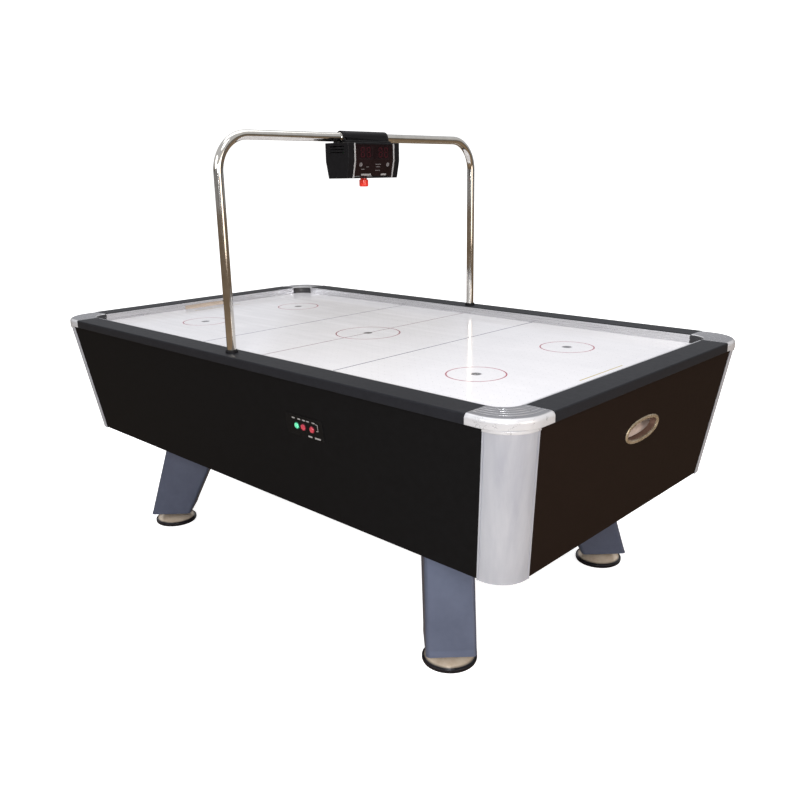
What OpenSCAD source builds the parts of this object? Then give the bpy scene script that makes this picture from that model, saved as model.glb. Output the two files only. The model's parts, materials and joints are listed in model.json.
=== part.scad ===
// Seven foot air hockey table: a leaning cabinet on four splayed box legs, a blown
// playfield between four rails, and an overhead tube that carries a two-sided scorer.
// Millimetres. +Z is up, X runs along the long side, the origin is on the floor
// under the middle of the table. The control panel is on the -Y side.

/* [Table] */
// Length over the rails
table_l = 2134; // [1900:2:2440]
// Width over the rails
table_w = 1219; // [1100:1:1320]
// Height of the rail tops above the floor
table_h = 805; // [770:1:840]
// Height of the cabinet's underside
cabinet_z = 377; // [350:1:410]

/* [Rails] */
// Width of a rail from its outer edge to its bumper
rail_w = 81; // [76:1:90]
// Thickness of the rails and corner caps
rail_t = 27; // [24:1:32]
// Radius along the top edges of a rail
rail_soft = 4; // [2:0.5:6]
// Thickness of the bumper strips that the puck strikes
bumper_t = 6; // [4:0.5:8]
// Height of the bumper strips above the playfield
bumper_h = 25; // [20:1:26]
// How far a corner cap reaches along each side, from the outer corner
cap_reach = 142; // [130:1:160]
// Outer radius of a corner cap in plan
cap_r = 105; // [90:1:120]
// Radius of the playing area's corners
field_r = 57; // [45:1:60]

/* [Cabinet] */
// Thickness of the side and end panels
panel_t = 18; // [15:1:20]
// How far the panels' top edges stand in from the rail's outer edge
panel_inset = 8; // [4:1:12]
// Lean of the panels from upright, in degrees, feet inwards
lean = 7.8; // [5:0.1:9]
// Width of a corner post on each side of its corner
post_arm = 90; // [84:1:100]
// Outer radius of a corner post
post_r = 78; // [65:1:82]
// Wall of a corner post
post_wall = 4; // [3:0.5:6]
// How far the posts hang below the panels
post_drop = 4; // [0:1:8]
// Thickness of the playfield sheet
field_t = 16; // [12:1:19]
// Thickness of the bottom panel
floor_t = 12; // [9:1:16]
// Depth of the air chamber under the playfield
chamber_h = 60; // [45:1:70]

/* [Goals] */
// Width of a goal slot
goal_w = 232; // [200:2:300]
// Height of a goal slot above the playfield
goal_h = 15; // [12:0.5:18]
// Width of the oval rim of a puck return
return_w = 180; // [160:2:200]
// Height of the oval rim of a puck return
return_h = 72; // [64:1:80]
// Height of the puck return's centre above the floor
return_z = 645; // [630:1:660]

/* [Legs] */
// Distance of a foot's centre from the table's middle along X
foot_x = 711; // [600:1:760]
// Distance of a foot's centre from the table's middle along Y
foot_y = 404; // [360:1:430]
// Radius of a foot's pad
foot_r = 77.5; // [60:0.5:80]
// Width of a leg across its outward face
leg_w = 141; // [130:1:150]
// Height of a leg's lower end above the floor
leg_z = 50; // [46:1:56]
// Reach of the leg's outward face beyond the foot's centre, at its lower end
leg_out_low = 76; // [70:1:84]
// Reach of the leg's outward face beyond the foot's centre, under the cabinet
leg_out_high = -21; // [-30:1:0]
// Reach of the leg's inward face behind the foot's centre, at its lower end
leg_in_low = 74; // [60:1:84]
// Reach of the leg's inward face behind the foot's centre, under the cabinet
leg_in_high = 229; // [200:1:240]
// How far a foot screws out of its leg
foot_travel = 20; // [10:1:25]

/* [Arch] */
// Height of the overhead tube's centre line
arch_z = 1425; // [1300:1:1600]
// Outer diameter of the tube
tube_d = 28; // [25:0.5:32]
// Bend radius of the tube's centre line
bend_r = 105; // [90:1:140]

/* [Scorer] */
// Length of the scorer along the tube
scorer_l = 232; // [220:2:260]
// Thickness of the scorer between its two faces
scorer_t = 110; // [100:1:120]
// Height of the scorer's underside
scorer_z = 1298; // [1290:1:1300]
// Height of the line where each face bends inwards
kink_z = 1352; // [1345:1:1360]
// How far each face moves inwards below the bend
kink_in = 12; // [8:1:16]
// Diameter of the reset button
reset_d = 30; // [26:1:34]

/* [Controls] */
// Middle of the control panel along X
control_x = 347; // [250:1:420]
// Height of the control panel's middle
control_z = 647; // [620:1:670]
// Width of the control panel
control_w = 154; // [150:1:170]
// Height of the control panel
control_h = 62; // [56:1:70]
// Diameter of a push button
button_d = 17; // [14:0.5:18]

/* [Hidden] */
$fn = 96;

// Clearance between pieces that are pushed or screwed together
gap = 0.3;
// Overshoot of a cut beyond the face it goes through
over = 1;

// Cabinet
deck_z = table_h - rail_t;
panel_run = panel_t / cos(lean);
cabinet_h = deck_z - cabinet_z;
splay = atan(sqrt(2) * tan(lean));
half_corner = atan(1 / cos(splay));
rim_w = rail_w + bumper_t;
field_under = deck_z - field_t;
chamber_z = field_under - chamber_h;
chamber_floor_t = 6;
board_t = 18;
panel_edge = 30;

// Half the cabinet's outer length and width at height z
function half_l(z) = table_l / 2 - panel_inset - (deck_z - z) * tan(lean);
function half_w(z) = table_w / 2 - panel_inset - (deck_z - z) * tan(lean);

// Goals and returns
chute_back = 132;
chute_wall = 4;
chute_floor_z = return_z - 37;
chute_half = goal_w / 2 + 2;
ramp_drop = 1.5;
ramp_angle = 34;
drop_edge = table_l / 2 - rim_w - 4;
rim_lip = 8;
rim_proud = 4;
rim_wall = 2.5;
sensor_w = 26;
sensor_t = 12;
sensor_h = 34;
sensor_in = 90;
sensor_up = 70;
beam_r = 3;

// Legs
leg_flange_t = 5;
leg_flange_lip = 8;
leg_side = 16;
leg_wall = 18;
leg_foot_block = 26;
leg_head_block = 34;
leg_middle = (leg_out_high - leg_in_high) / 2;
leg_top = cabinet_z - leg_flange_t;
stem_r = 8;
stem_top = 112;
foot_rim = 12;
foot_dome = 24;
lock_nut_r = 16;
bolt_r = 4;
bolt_grip = 27;
bolt_head_r = 8;
bolt_head_h = 6;
bolt_d = [-58, 58];
bolt_t = [-44, 44];

// Reach of the leg's faces from the foot's centre at height z, along the diagonal
function leg_out(z) = leg_out_low + (leg_out_high - leg_out_low) * (z - leg_z) / (leg_top - leg_z);
function leg_in(z) = -leg_in_low - (leg_in_high - leg_in_low) * (z - leg_z) / (leg_top - leg_z);

// Arch
tube_r = tube_d / 2;
arch_y = table_w / 2 - (rail_w + bumper_t) / 2;
tube_wall = 2;
tube_foot = deck_z - 4;
socket_r = 16.5;
socket_collar = 2.5;
socket_collar_h = 9;
sleeve_r = tube_r + 1.6;
sleeve_l = 212;

// Air chamber's half length and half width, clear of the chutes and the arch sockets
chamber_x = table_l / 2 - chute_back - 17;
chamber_y = arch_y - socket_r - 4;

// Scorer
scorer_top = arch_z - sleeve_r - 1;
scorer_wall = 3;
window_rim = 6;
saddle_l = 200;
saddle_r = 20;
face_half = 84;
face_t = 3;
reset_stroke = 4;
reset_drop = 27;
reset_shoulder = 4;
saddle_base_w = 64;
saddle_base_t = 5;
display_h = 66;
display_t = 4;
digit_w = 56;
digit_t = 22;
digit_h = 40;
digit_y = 42;

// Blower
shell_t = 3;
blower_r = 118;
blower_h = 92;
blower_z = cabinet_z + floor_t;
wheel_r = 92;
wheel_h = 64;
wheel_gap = 12;
blade_count = 24;
blade_w = 18;
blade_t = 2;
wheel_plate = 3;
wheel_ring = 20;
hub_r = 14;
hub_h = 30;
shaft_r = 5;
motor_r = 52;
motor_h = 84;
duct_w = 96;
duct_x = -150;
duct_neck = 60;
duct_hole = duct_w - 8;
intake_r = 70;
grille_rim = 16;
grille_t = 3;
slat_pitch = 14;
slat_gap = 8;

// Power box and inlet
box_place = [220, -320, cabinet_z + floor_t];
box_size = [240, 170, 74];
box_lead_r = 10;
inlet_x = 600;
inlet_z = 440;
inlet_plate = [50, 34, 3];
inlet_body = [31, 25, 30];
inlet_well = [25, 19, 24];

// Controls
plate_t = 2;
plate_lap = 8;
button_proud = 3.5;
button_back = 5;
button_x = [-32, -5, 31.5];
button_y = -1;
switch_size = 18;
switch_back = 24;
switch_front = 7;
plunger_r = 4;
plunger_end = 8;

// ---------- shared shapes ----------

// Rectangle with four equal round corners, centred
module round_rect(l, w, r) {
    square([l - 2 * r, w], center = true);
    square([l, w - 2 * r], center = true);
    for (x = [-1, 1], y = [-1, 1])
        translate([x * (l / 2 - r), y * (w / 2 - r)])
            circle(r);
}

// Bar section standing on its lower edge, with both upper edges rounded
module bar_section(w, h, r) {
    translate([r, 0]) square([w - 2 * r, h]);
    square([w, h - r]);
    for (x = [r, w - r])
        translate([x, h - r])
            circle(r, $fn = 32);
}

// Slot with round ends, l along X and w across
module oval(l, w) {
    square([l - w, w], center = true);
    for (x = [-1, 1])
        translate([x * (l - w) / 2, 0])
            circle(w / 2);
}

// Places a shape on the outer face of the front panel, +Z outwards and +Y up the face
module on_front(x, z) {
    translate([x, -half_w(z), z])
        rotate([90 + lean, 0, 0])
            children();
}

// Places a shape on the outer face of the right end panel, +Z outwards and +X down the face
module on_end(z) {
    translate([half_l(z), 0, z])
        rotate([0, 90 + lean, 0])
            children();
}

// Repeats a shape at the left end
module left() {
    mirror([1, 0, 0]) children();
}

// Repeats a shape at the back
module back() {
    mirror([0, 1, 0]) children();
}

// Leaning wall that faces -Y, between end lines that lean the same way
module wall(half_depth_top, half_depth_low, end_top, end_low) {
    intersection() {
        rotate([90, 0, 90])
            linear_extrude(2 * end_top, center = true)
                polygon([
                    [-half_depth_top, deck_z],
                    [-half_depth_low, cabinet_z],
                    [-half_depth_low + panel_run, cabinet_z],
                    [-half_depth_top + panel_run, deck_z]
                ]);
        rotate([90, 0, 0])
            linear_extrude(2 * half_depth_top + 2 * over, center = true)
                polygon([
                    [-end_low, cabinet_z],
                    [end_low, cabinet_z],
                    [end_top, deck_z],
                    [-end_top, deck_z]
                ]);
    }
}

// ---------- cabinet ----------

module side_panel() {
    wall(half_w(deck_z), half_w(cabinet_z), half_l(deck_z) - post_arm, half_l(cabinet_z) - post_arm);
}

module end_panel() {
    difference() {
        rotate([0, 0, 90])
            wall(half_l(deck_z), half_l(cabinet_z), half_w(deck_z) - post_arm, half_w(cabinet_z) - post_arm);
        on_end(return_z)
            rotate([0, 0, 90])
                translate([0, 0, -2 * panel_t])
                    linear_extrude(3 * panel_t)
                        oval(return_w - 2 * rim_lip + 2 * gap, return_h - 2 * rim_lip + 2 * gap);
    }
}

module side_panel_front() {
    color("#1f1c1c")
        difference() {
            side_panel();
            on_front(control_x, control_z)
                translate([0, 0, -2 * panel_t])
                    linear_extrude(3 * panel_t)
                        round_rect(control_w - 2 * plate_lap, control_h - 2 * plate_lap, 4);
        }
}

module side_panel_back() {
    color("#1f1c1c")
        difference() {
            back() side_panel();
            rotate([0, 0, 180])
                on_front(inlet_x, inlet_z)
                    translate([0, 0, -2 * panel_t])
                        linear_extrude(3 * panel_t)
                            square([inlet_body[0] + 1, inlet_body[1] + 1], center = true);
        }
}

module end_panel_right() {
    color("#2b241f") end_panel();
}

module end_panel_left() {
    color("#1f1c1c") left() end_panel();
}

// Section of a post seen along its own line: a quarter round with a short flat each side
module post_section() {
    tangent = post_r / tan(half_corner);
    arm = (post_arm - gap) * sqrt(1 - pow(sin(splay), 2) / 2);
    turn = 90 - half_corner;
    reach = 2 * post_r;
    for (side = [0, 1])
        mirror([0, side, 0])
            rotate(180 - half_corner)
                translate([tangent, 0])
                    square([arm - tangent, post_wall]);
    translate([-post_r / sin(half_corner), 0])
        intersection() {
            difference() {
                circle(post_r);
                circle(post_r - post_wall);
            }
            polygon([
                [0, 0],
                [reach * cos(turn), -reach * sin(turn)],
                [reach, 0],
                [reach * cos(turn), reach * sin(turn)]
            ]);
        }
}

module corner_post() {
    color("#c4c4cc")
        intersection() {
            translate([half_l(cabinet_z), -half_w(cabinet_z), cabinet_z])
                rotate([0, splay, -45])
                    linear_extrude(3 * cabinet_h, center = true)
                        post_section();
            translate([0, -table_w, cabinet_z - post_drop])
                cube([table_l, table_w, cabinet_h + post_drop]);
        }
}

module corner_post_front_right() {
    corner_post();
}

module corner_post_front_left() {
    left() corner_post();
}

module corner_post_back_right() {
    back() corner_post();
}

module corner_post_back_left() {
    back() left() corner_post();
}

// ---------- rails ----------

// Ring in plan between two depths from the table's edge, kept to one corner
module corner_ring(depth_out, r_out, depth_in, r_in) {
    intersection() {
        difference() {
            round_rect(table_l - 2 * depth_out, table_w - 2 * depth_out, r_out);
            round_rect(table_l - 2 * depth_in, table_w - 2 * depth_in, r_in);
        }
        translate([table_l / 2 - cap_reach, -table_w / 2])
            square(cap_reach);
    }
}

module corner_cap() {
    color("#b9bac2")
        translate([0, 0, deck_z])
            linear_extrude(rail_t)
                corner_ring(0, cap_r, rail_w, field_r + bumper_t);
}

module corner_cap_front_right() {
    corner_cap();
}

module corner_cap_front_left() {
    left() corner_cap();
}

module corner_cap_back_right() {
    back() corner_cap();
}

module corner_cap_back_left() {
    back() left() corner_cap();
}

// Straight rail along X with its outer edge at y = -outer
module rail(outer, length) {
    translate([0, -outer, deck_z])
        rotate([90, 0, 90])
            linear_extrude(length, center = true)
                bar_section(rail_w, rail_t, rail_soft);
}

module side_rail() {
    difference() {
        rail(table_w / 2, table_l - 2 * cap_reach);
        translate([0, -arch_y, deck_z - over])
            cylinder(r = socket_r, h = rail_t + 2 * over);
    }
}

module end_rail() {
    pocket = rail_w - 9;
    difference() {
        rotate([0, 0, 90])
            rail(table_l / 2, table_w - 2 * cap_reach);
        translate([table_l / 2 - rail_w - over, -goal_w / 2, deck_z - over])
            cube([pocket + over, goal_w, goal_h + over]);
    }
}

module rail_front() {
    color("#2b2c33") side_rail();
}

module rail_back() {
    color("#2b2c33") back() side_rail();
}

module rail_right() {
    color("#2b2c33") end_rail();
}

module rail_left() {
    color("#2b2c33") left() end_rail();
}

module bumper(outer, length) {
    translate([-length / 2, -outer, deck_z])
        cube([length, bumper_t, bumper_h]);
}

module end_bumper() {
    difference() {
        rotate([0, 0, 90])
            bumper(table_l / 2 - rail_w, table_w - 2 * cap_reach);
        translate([table_l / 2 - rim_w - over, -goal_w / 2, deck_z - over])
            cube([bumper_t + 2 * over, goal_w, goal_h + over]);
    }
}

module bumper_front() {
    color("#dfe0e4") bumper(table_w / 2 - rail_w, table_l - 2 * cap_reach);
}

module bumper_back() {
    color("#dfe0e4") back() bumper(table_w / 2 - rail_w, table_l - 2 * cap_reach);
}

module bumper_right() {
    color("#dfe0e4") end_bumper();
}

module bumper_left() {
    color("#dfe0e4") left() end_bumper();
}

module corner_bumpers() {
    color("#2a2a2e")
        for (x = [0, 1], y = [0, 1])
            mirror([x, 0, 0])
                mirror([0, y, 0])
                    translate([0, 0, deck_z])
                        linear_extrude(bumper_h)
                            corner_ring(rail_w, field_r + bumper_t, rim_w, field_r);
}

// ---------- playfield and air chamber ----------

module playfield() {
    edge_x = table_l / 2 - panel_edge;
    edge_y = arch_y - socket_r - 2;
    color("#e8e6ea")
        difference() {
            translate([0, 0, field_under])
                linear_extrude(field_t)
                    round_rect(2 * edge_x, 2 * edge_y, 60);
            for (x = [-1, 1])
                translate([x * (drop_edge + panel_edge + over), 0, deck_z])
                    cube([2 * (panel_edge + over), goal_w, 3 * field_t], center = true);
        }
}

module chamber_frame() {
    color("#b08d5e")
        translate([0, 0, chamber_z]) {
            for (y = [-chamber_y, chamber_y - board_t])
                translate([-chamber_x, y, 0])
                    cube([2 * chamber_x, board_t, chamber_h]);
            for (bay = [-2 : 2])
                translate([bay * (chamber_x - board_t / 2) / 2 - board_t / 2, -chamber_y, 0])
                    cube([board_t, 2 * chamber_y, chamber_h]);
        }
}

module chamber_floor() {
    color("#9a7b50")
        difference() {
            translate([-chamber_x, -chamber_y, chamber_z - chamber_floor_t])
                cube([2 * chamber_x, 2 * chamber_y, chamber_floor_t]);
            translate([duct_x, 0, chamber_z])
                cube([duct_hole, duct_hole, 3 * chamber_floor_t], center = true);
        }
}

module bottom_panel() {
    half_x = half_l(cabinet_z) - panel_run - over;
    half_y = half_w(cabinet_z) - panel_run - over;
    color("#3a322b")
        difference() {
            translate([0, 0, cabinet_z])
                linear_extrude(floor_t)
                    round_rect(2 * half_x, 2 * half_y, post_r);
            translate([0, 0, cabinet_z - over])
                cylinder(r = intake_r, h = floor_t + 2 * over);
            at_bolts() {
                translate([0, 0, cabinet_z - over])
                    cylinder(r = bolt_r + gap, h = floor_t + 2 * over, $fn = 32);
            }
        }
}

// ---------- goals and puck returns ----------

module puck_chute() {
    chute_x = table_l / 2 - chute_back;
    chute_h = field_under - chute_floor_z;
    // the ramp ends just under the return opening, so a puck slides out to the rim
    ramp_z = return_z - return_h / 2 + rim_lip + rim_wall - ramp_drop;
    ramp_x = half_l(ramp_z) - panel_run - gap;
    color("#d9c7b2")
        intersection() {
            union() {
                difference() {
                    translate([chute_x, -chute_half - chute_wall, chute_floor_z - chute_wall])
                        cube([chute_back, 2 * (chute_half + chute_wall), chute_h + chute_wall]);
                    translate([chute_x + chute_wall, -chute_half, chute_floor_z])
                        cube([chute_back, 2 * chute_half, chute_h + over]);
                }
                rotate([90, 0, 0])
                    linear_extrude(2 * chute_half + chute_wall, center = true)
                        polygon([
                            [chute_x + chute_wall / 2, chute_floor_z - chute_wall / 2],
                            [ramp_x + over, chute_floor_z - chute_wall / 2],
                            [ramp_x + over, ramp_z],
                            [chute_x + chute_wall / 2, ramp_z + (ramp_x - chute_x) * tan(ramp_angle)]
                        ]);
            }
            // kept just clear of the leaning end panel
            rotate([90, 0, 0])
                linear_extrude(table_w, center = true)
                    polygon([
                        [0, cabinet_z],
                        [half_l(cabinet_z) - panel_run - gap, cabinet_z],
                        [half_l(deck_z) - panel_run - gap, deck_z],
                        [0, deck_z]
                    ]);
        }
}

module puck_chute_right() {
    puck_chute();
}

module puck_chute_left() {
    left() puck_chute();
}

// Oval rim of a puck return: a raised lip and a sleeve that lines the panel's opening
module return_rim() {
    sleeve_w = return_w - 2 * rim_lip;
    sleeve_h = return_h - 2 * rim_lip;
    color("#c9b78e")
        on_end(return_z)
            rotate([0, 0, 90])
                difference() {
                    union() {
                        linear_extrude(rim_proud)
                            oval(return_w, return_h);
                        translate([0, 0, -panel_t])
                            linear_extrude(panel_t)
                                oval(sleeve_w, sleeve_h);
                    }
                    translate([0, 0, -panel_t - over])
                        linear_extrude(panel_t + rim_proud + 2 * over)
                            oval(sleeve_w - 2 * rim_wall, sleeve_h - 2 * rim_wall);
                }
}

module return_rim_right() {
    return_rim();
}

module return_rim_left() {
    left() return_rim();
}

// One light-beam sensor block on the outside of each chute
module goal_sensors() {
    color("#303030")
        for (x = [0, 1])
            mirror([x, 0, 0])
                translate([
                    table_l / 2 - sensor_in,
                    -chute_half - chute_wall - sensor_t,
                    chute_floor_z + sensor_up
                ])
                    difference() {
                        cube([sensor_w, sensor_t, sensor_h]);
                        translate([sensor_w / 2, -over, sensor_h / 2])
                            rotate([-90, 0, 0])
                                cylinder(r = beam_r, h = sensor_t / 2, $fn = 32);
                    }
}

// ---------- blower and power ----------

module blower_housing() {
    duct_top = chamber_z - chamber_floor_t;
    duct_corner = duct_x - duct_w / 2;
    inside = duct_w - 2 * shell_t;
    color("#26262a")
        difference() {
            union() {
                translate([0, 0, blower_z])
                    cylinder(r = blower_r, h = blower_h);
                translate([duct_corner, -duct_w / 2, blower_z])
                    cube([duct_w + duct_neck, duct_w, blower_h]);
                translate([duct_corner, -duct_w / 2, blower_z])
                    cube([duct_w, duct_w, duct_top - blower_z]);
            }
            translate([0, 0, blower_z + shell_t])
                cylinder(r = blower_r - shell_t, h = blower_h - 2 * shell_t);
            translate([duct_corner + shell_t, -inside / 2, blower_z + shell_t])
                cube([duct_w + duct_neck, inside, blower_h - 2 * shell_t]);
            translate([duct_corner + shell_t, -inside / 2, blower_z + shell_t])
                cube([inside, inside, duct_top - blower_z]);
            translate([0, 0, blower_z - over])
                cylinder(r = intake_r, h = 2 * shell_t);
            // shaft hole under the motor
            translate([0, 0, blower_z + blower_h - 2 * shell_t])
                cylinder(r = hub_r - 2, h = 3 * shell_t);
        }
}

module blower_wheel() {
    color("#8d9298")
        translate([0, 0, blower_z + wheel_gap]) {
            difference() {
                union() {
                    translate([0, 0, wheel_h - wheel_plate])
                        cylinder(r = wheel_r, h = wheel_plate);
                    translate([0, 0, wheel_h - hub_h])
                        cylinder(r = hub_r, h = hub_h);
                }
                translate([0, 0, wheel_h - hub_h - over])
                    cylinder(r = shaft_r + 0.05, h = hub_h + 2 * over);
            }
            difference() {
                cylinder(r = wheel_r, h = wheel_plate);
                translate([0, 0, -over])
                    cylinder(r = wheel_r - wheel_ring, h = wheel_plate + 2 * over);
            }
            for (turn = [0 : 360 / blade_count : 359])
                rotate(turn)
                    translate([wheel_r - wheel_ring, -blade_t / 2, wheel_plate / 2])
                        cube([blade_w, blade_t, wheel_h - wheel_plate]);
        }
}

module blower_motor() {
    motor_z = blower_z + blower_h;
    shaft_end = blower_z + wheel_gap + wheel_h - hub_h + 4;
    color("#55585c") {
        translate([0, 0, motor_z])
            cylinder(r = motor_r, h = motor_h);
        translate([0, 0, motor_z + motor_h])
            cylinder(r = motor_r - 14, h = 10);
        translate([0, 0, shaft_end])
            cylinder(r = shaft_r, h = motor_z - shaft_end);
    }
}

module intake_grille() {
    reach = 4 * slat_pitch;
    color("#1c1c1e")
        difference() {
            translate([0, 0, cabinet_z - grille_t])
                cylinder(r = intake_r + grille_rim, h = grille_t);
            for (y = [-reach : slat_pitch : reach]) {
                slot_l = 2 * sqrt(intake_r * intake_r - y * y) - slat_gap;
                translate([0, y, cabinet_z - grille_t])
                    cube([slot_l, slat_gap, 4 * grille_t], center = true);
            }
        }
}

module power_box() {
    inside = [for (side = box_size) side - 2 * shell_t];
    color("#8a8d92")
        translate(box_place)
            difference() {
                cube(box_size);
                translate([shell_t, shell_t, shell_t])
                    cube(inside);
                // hole for the leads in the wall that faces the blower
                translate([box_size[0] / 2, box_size[1] - 2 * shell_t, box_size[2] / 2])
                    rotate([-90, 0, 0])
                        cylinder(r = box_lead_r, h = 3 * shell_t);
            }
}

// Appliance inlet in the back panel
module power_inlet() {
    color("#202022")
        rotate([0, 0, 180])
            on_front(inlet_x, inlet_z)
                difference() {
                    union() {
                        translate([0, 0, inlet_plate[2] / 2])
                            cube(inlet_plate, center = true);
                        translate([0, 0, -inlet_body[2] / 2])
                            cube(inlet_body, center = true);
                    }
                    translate([0, 0, inlet_plate[2] + over - inlet_well[2] / 2])
                        cube(inlet_well, center = true);
                }
}

// ---------- control panel ----------

module control_plate() {
    color("#242225")
        on_front(control_x, control_z)
            linear_extrude(plate_t)
                difference() {
                    round_rect(control_w, control_h, 5);
                    for (x = button_x)
                        translate([x, button_y])
                            circle(button_d / 2 + gap);
                }
}

// Push button: a domed cap on a plunger that runs into its switch
module push_button(place) {
    on_front(control_x, control_z)
        translate([button_x[place], button_y, 0]) {
            intersection() {
                translate([0, 0, plate_t - button_back])
                    cylinder(r = button_d / 2, h = button_back + button_proud);
                translate([0, 0, plate_t + button_proud - 3 * button_d / 2])
                    sphere(3 * button_d / 2);
            }
            translate([0, 0, plunger_end - switch_back])
                cylinder(r = plunger_r, h = switch_back - plunger_end);
        }
}

module button_green() {
    color("#23b06a") push_button(0);
}

module button_red_left() {
    color("#c8322c") push_button(1);
}

module button_red_right() {
    color("#c8322c") push_button(2);
}

module switch_bodies() {
    color("#3c3c40")
        for (x = button_x)
            on_front(control_x, control_z)
                translate([x, button_y, -switch_back])
                    difference() {
                        translate([-switch_size / 2, -switch_size / 2, 0])
                            cube([switch_size, switch_size, switch_back - switch_front]);
                        translate([0, 0, plunger_end / 2])
                            cylinder(r = plunger_r + gap, h = switch_back);
                    }
}

// ---------- legs and feet ----------

// Moves a shape from the leg's own diagonal frame to the front right foot:
// X points outwards along the diagonal, Y across the leg
module at_foot() {
    translate([foot_x, -foot_y, 0])
        rotate(-45)
            children();
}

// Repeats a shape at the four bolts of all four legs
module at_bolts() {
    for (x = [0, 1], y = [0, 1])
        mirror([x, 0, 0])
            mirror([0, y, 0])
                at_foot()
                    for (d = bolt_d, t = bolt_t)
                        translate([leg_middle + d, t, 0])
                            children();
}

// Block between two heights with the leg's sloping faces, set in by the given walls
module leg_block(low, high, set_in, width) {
    rotate([90, 0, 0])
        linear_extrude(width, center = true)
            polygon([
                [leg_out(low) - set_in, low],
                [leg_out(high) - set_in, high],
                [leg_in(high) + set_in, high],
                [leg_in(low) + set_in, low]
            ]);
}

module leg() {
    flange_l = leg_out_high + leg_in_high + 2 * leg_flange_lip;
    color("#656b7c")
        at_foot()
            difference() {
                union() {
                    leg_block(leg_z, leg_top, 0, leg_w);
                    translate([leg_middle, 0, leg_top + leg_flange_t / 2])
                        cube([flange_l, leg_w + 2 * leg_flange_lip, leg_flange_t], center = true);
                }
                leg_block(leg_z + leg_foot_block, leg_top - leg_head_block, leg_wall, leg_w - 2 * leg_side);
                translate([0, 0, leg_z - over])
                    cylinder(r = stem_r + gap, h = stem_top - leg_z);
                for (d = bolt_d, t = bolt_t)
                    translate([leg_middle + d, t, cabinet_z - bolt_grip])
                        cylinder(r = bolt_r + gap, h = bolt_grip + over, $fn = 32);
            }
}

module leg_front_right() {
    leg();
}

module leg_front_left() {
    left() leg();
}

module leg_back_right() {
    back() leg();
}

module leg_back_left() {
    back() left() leg();
}

// Levelling foot: a domed pad, a lock nut and a threaded stem
module foot() {
    dome_r = foot_r - 3.5;
    dome_top = foot_rim + foot_dome;
    nut_foot = dome_top - 3;
    ball = (dome_r * dome_r + foot_dome * foot_dome) / (2 * foot_dome);
    color("#b8b2a8")
        at_foot() {
            cylinder(r = foot_r, h = foot_rim);
            intersection() {
                translate([0, 0, dome_top - ball])
                    sphere(ball);
                translate([0, 0, foot_rim - over])
                    cylinder(r = dome_r, h = foot_dome + 2 * over);
            }
            translate([0, 0, nut_foot])
                cylinder(r = lock_nut_r, h = leg_z - gap - nut_foot, $fn = 6);
            cylinder(r = stem_r, h = stem_top - foot_travel);
        }
}

module foot_front_right() {
    foot();
}

module foot_front_left() {
    left() foot();
}

module foot_back_right() {
    back() foot();
}

module foot_back_left() {
    back() left() foot();
}

module leg_bolts() {
    bolt_l = floor_t + bolt_grip - 2;
    color("#9a9a9e")
        at_bolts()
            translate([0, 0, cabinet_z + floor_t]) {
                cylinder(r = bolt_head_r, h = bolt_head_h, $fn = 6);
                translate([0, 0, -bolt_l])
                    cylinder(r = bolt_r, h = bolt_l, $fn = 32);
            }
}

// ---------- arch ----------

// Half of the overhead tube: up from the front rail, round the bend and in to the middle
module arch_half() {
    color("#c9c6c0") {
        translate([0, -arch_y, tube_foot])
            difference() {
                cylinder(r = tube_r, h = arch_z - bend_r - tube_foot);
                translate([0, 0, -over])
                    cylinder(r = tube_r - tube_wall, h = arch_z - bend_r - tube_foot + 2 * over);
            }
        translate([0, -arch_y + bend_r, arch_z - bend_r])
            rotate([90, 0, -90])
                rotate_extrude(angle = 90)
                    translate([bend_r, 0])
                        difference() {
                            circle(tube_r);
                            circle(tube_r - tube_wall);
                        }
        translate([0, 0, arch_z])
            rotate([90, 0, 0])
                difference() {
                    cylinder(r = tube_r, h = arch_y - bend_r);
                    translate([0, 0, -over])
                        cylinder(r = tube_r - tube_wall, h = arch_y - bend_r + 2 * over);
                }
    }
}

module arch_tube_front() {
    arch_half();
}

module arch_tube_back() {
    back() arch_half();
}

// Sleeve that joins the two halves inside the saddle
module arch_sleeve() {
    color("#d8d6d2")
        translate([0, 0, arch_z])
            rotate([90, 0, 0])
                difference() {
                    cylinder(r = sleeve_r, h = sleeve_l, center = true);
                    cylinder(r = tube_r + gap / 3, h = sleeve_l + 2 * over, center = true);
                }
}

// Flanged cup in each side rail that takes the end of the tube
module arch_sockets() {
    color("#1e1e20")
        for (y = [0, 1])
            mirror([0, y, 0])
                translate([0, -arch_y, 0])
                    difference() {
                        union() {
                            translate([0, 0, tube_foot - 3])
                                cylinder(r = socket_r - gap, h = table_h - tube_foot + 3);
                            translate([0, 0, table_h])
                                cylinder(r = socket_r + socket_collar, h = socket_collar_h);
                        }
                        translate([0, 0, tube_foot])
                            cylinder(r = tube_r + gap / 3, h = table_h);
                    }
}

// ---------- scorer ----------

// Outline across the scorer, set in from its outer faces
module scorer_outline(set_in) {
    face = scorer_t / 2 - set_in;
    polygon([
        [-face, scorer_top - set_in],
        [-face, kink_z],
        [-face + kink_in, scorer_z + set_in],
        [face - kink_in, scorer_z + set_in],
        [face, kink_z],
        [face, scorer_top - set_in]
    ]);
}

module across_scorer(length) {
    rotate([90, 0, 0])
        linear_extrude(length, center = true)
            children();
}

module scorer_housing() {
    color("#1a1a1c")
        difference() {
            across_scorer(scorer_l)
                scorer_outline(0);
            across_scorer(scorer_l - 2 * scorer_wall)
                scorer_outline(scorer_wall);
            // windows for the two faces
            translate([0, 0, (scorer_top + scorer_z) / 2])
                cube([
                    scorer_t + 2 * over,
                    2 * face_half,
                    scorer_top - scorer_z - 2 * window_rim
                ], center = true);
            translate([0, 0, scorer_z - over])
                cylinder(r = reset_d / 2 - reset_shoulder, h = scorer_wall + 2 * over);
        }
}

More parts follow.
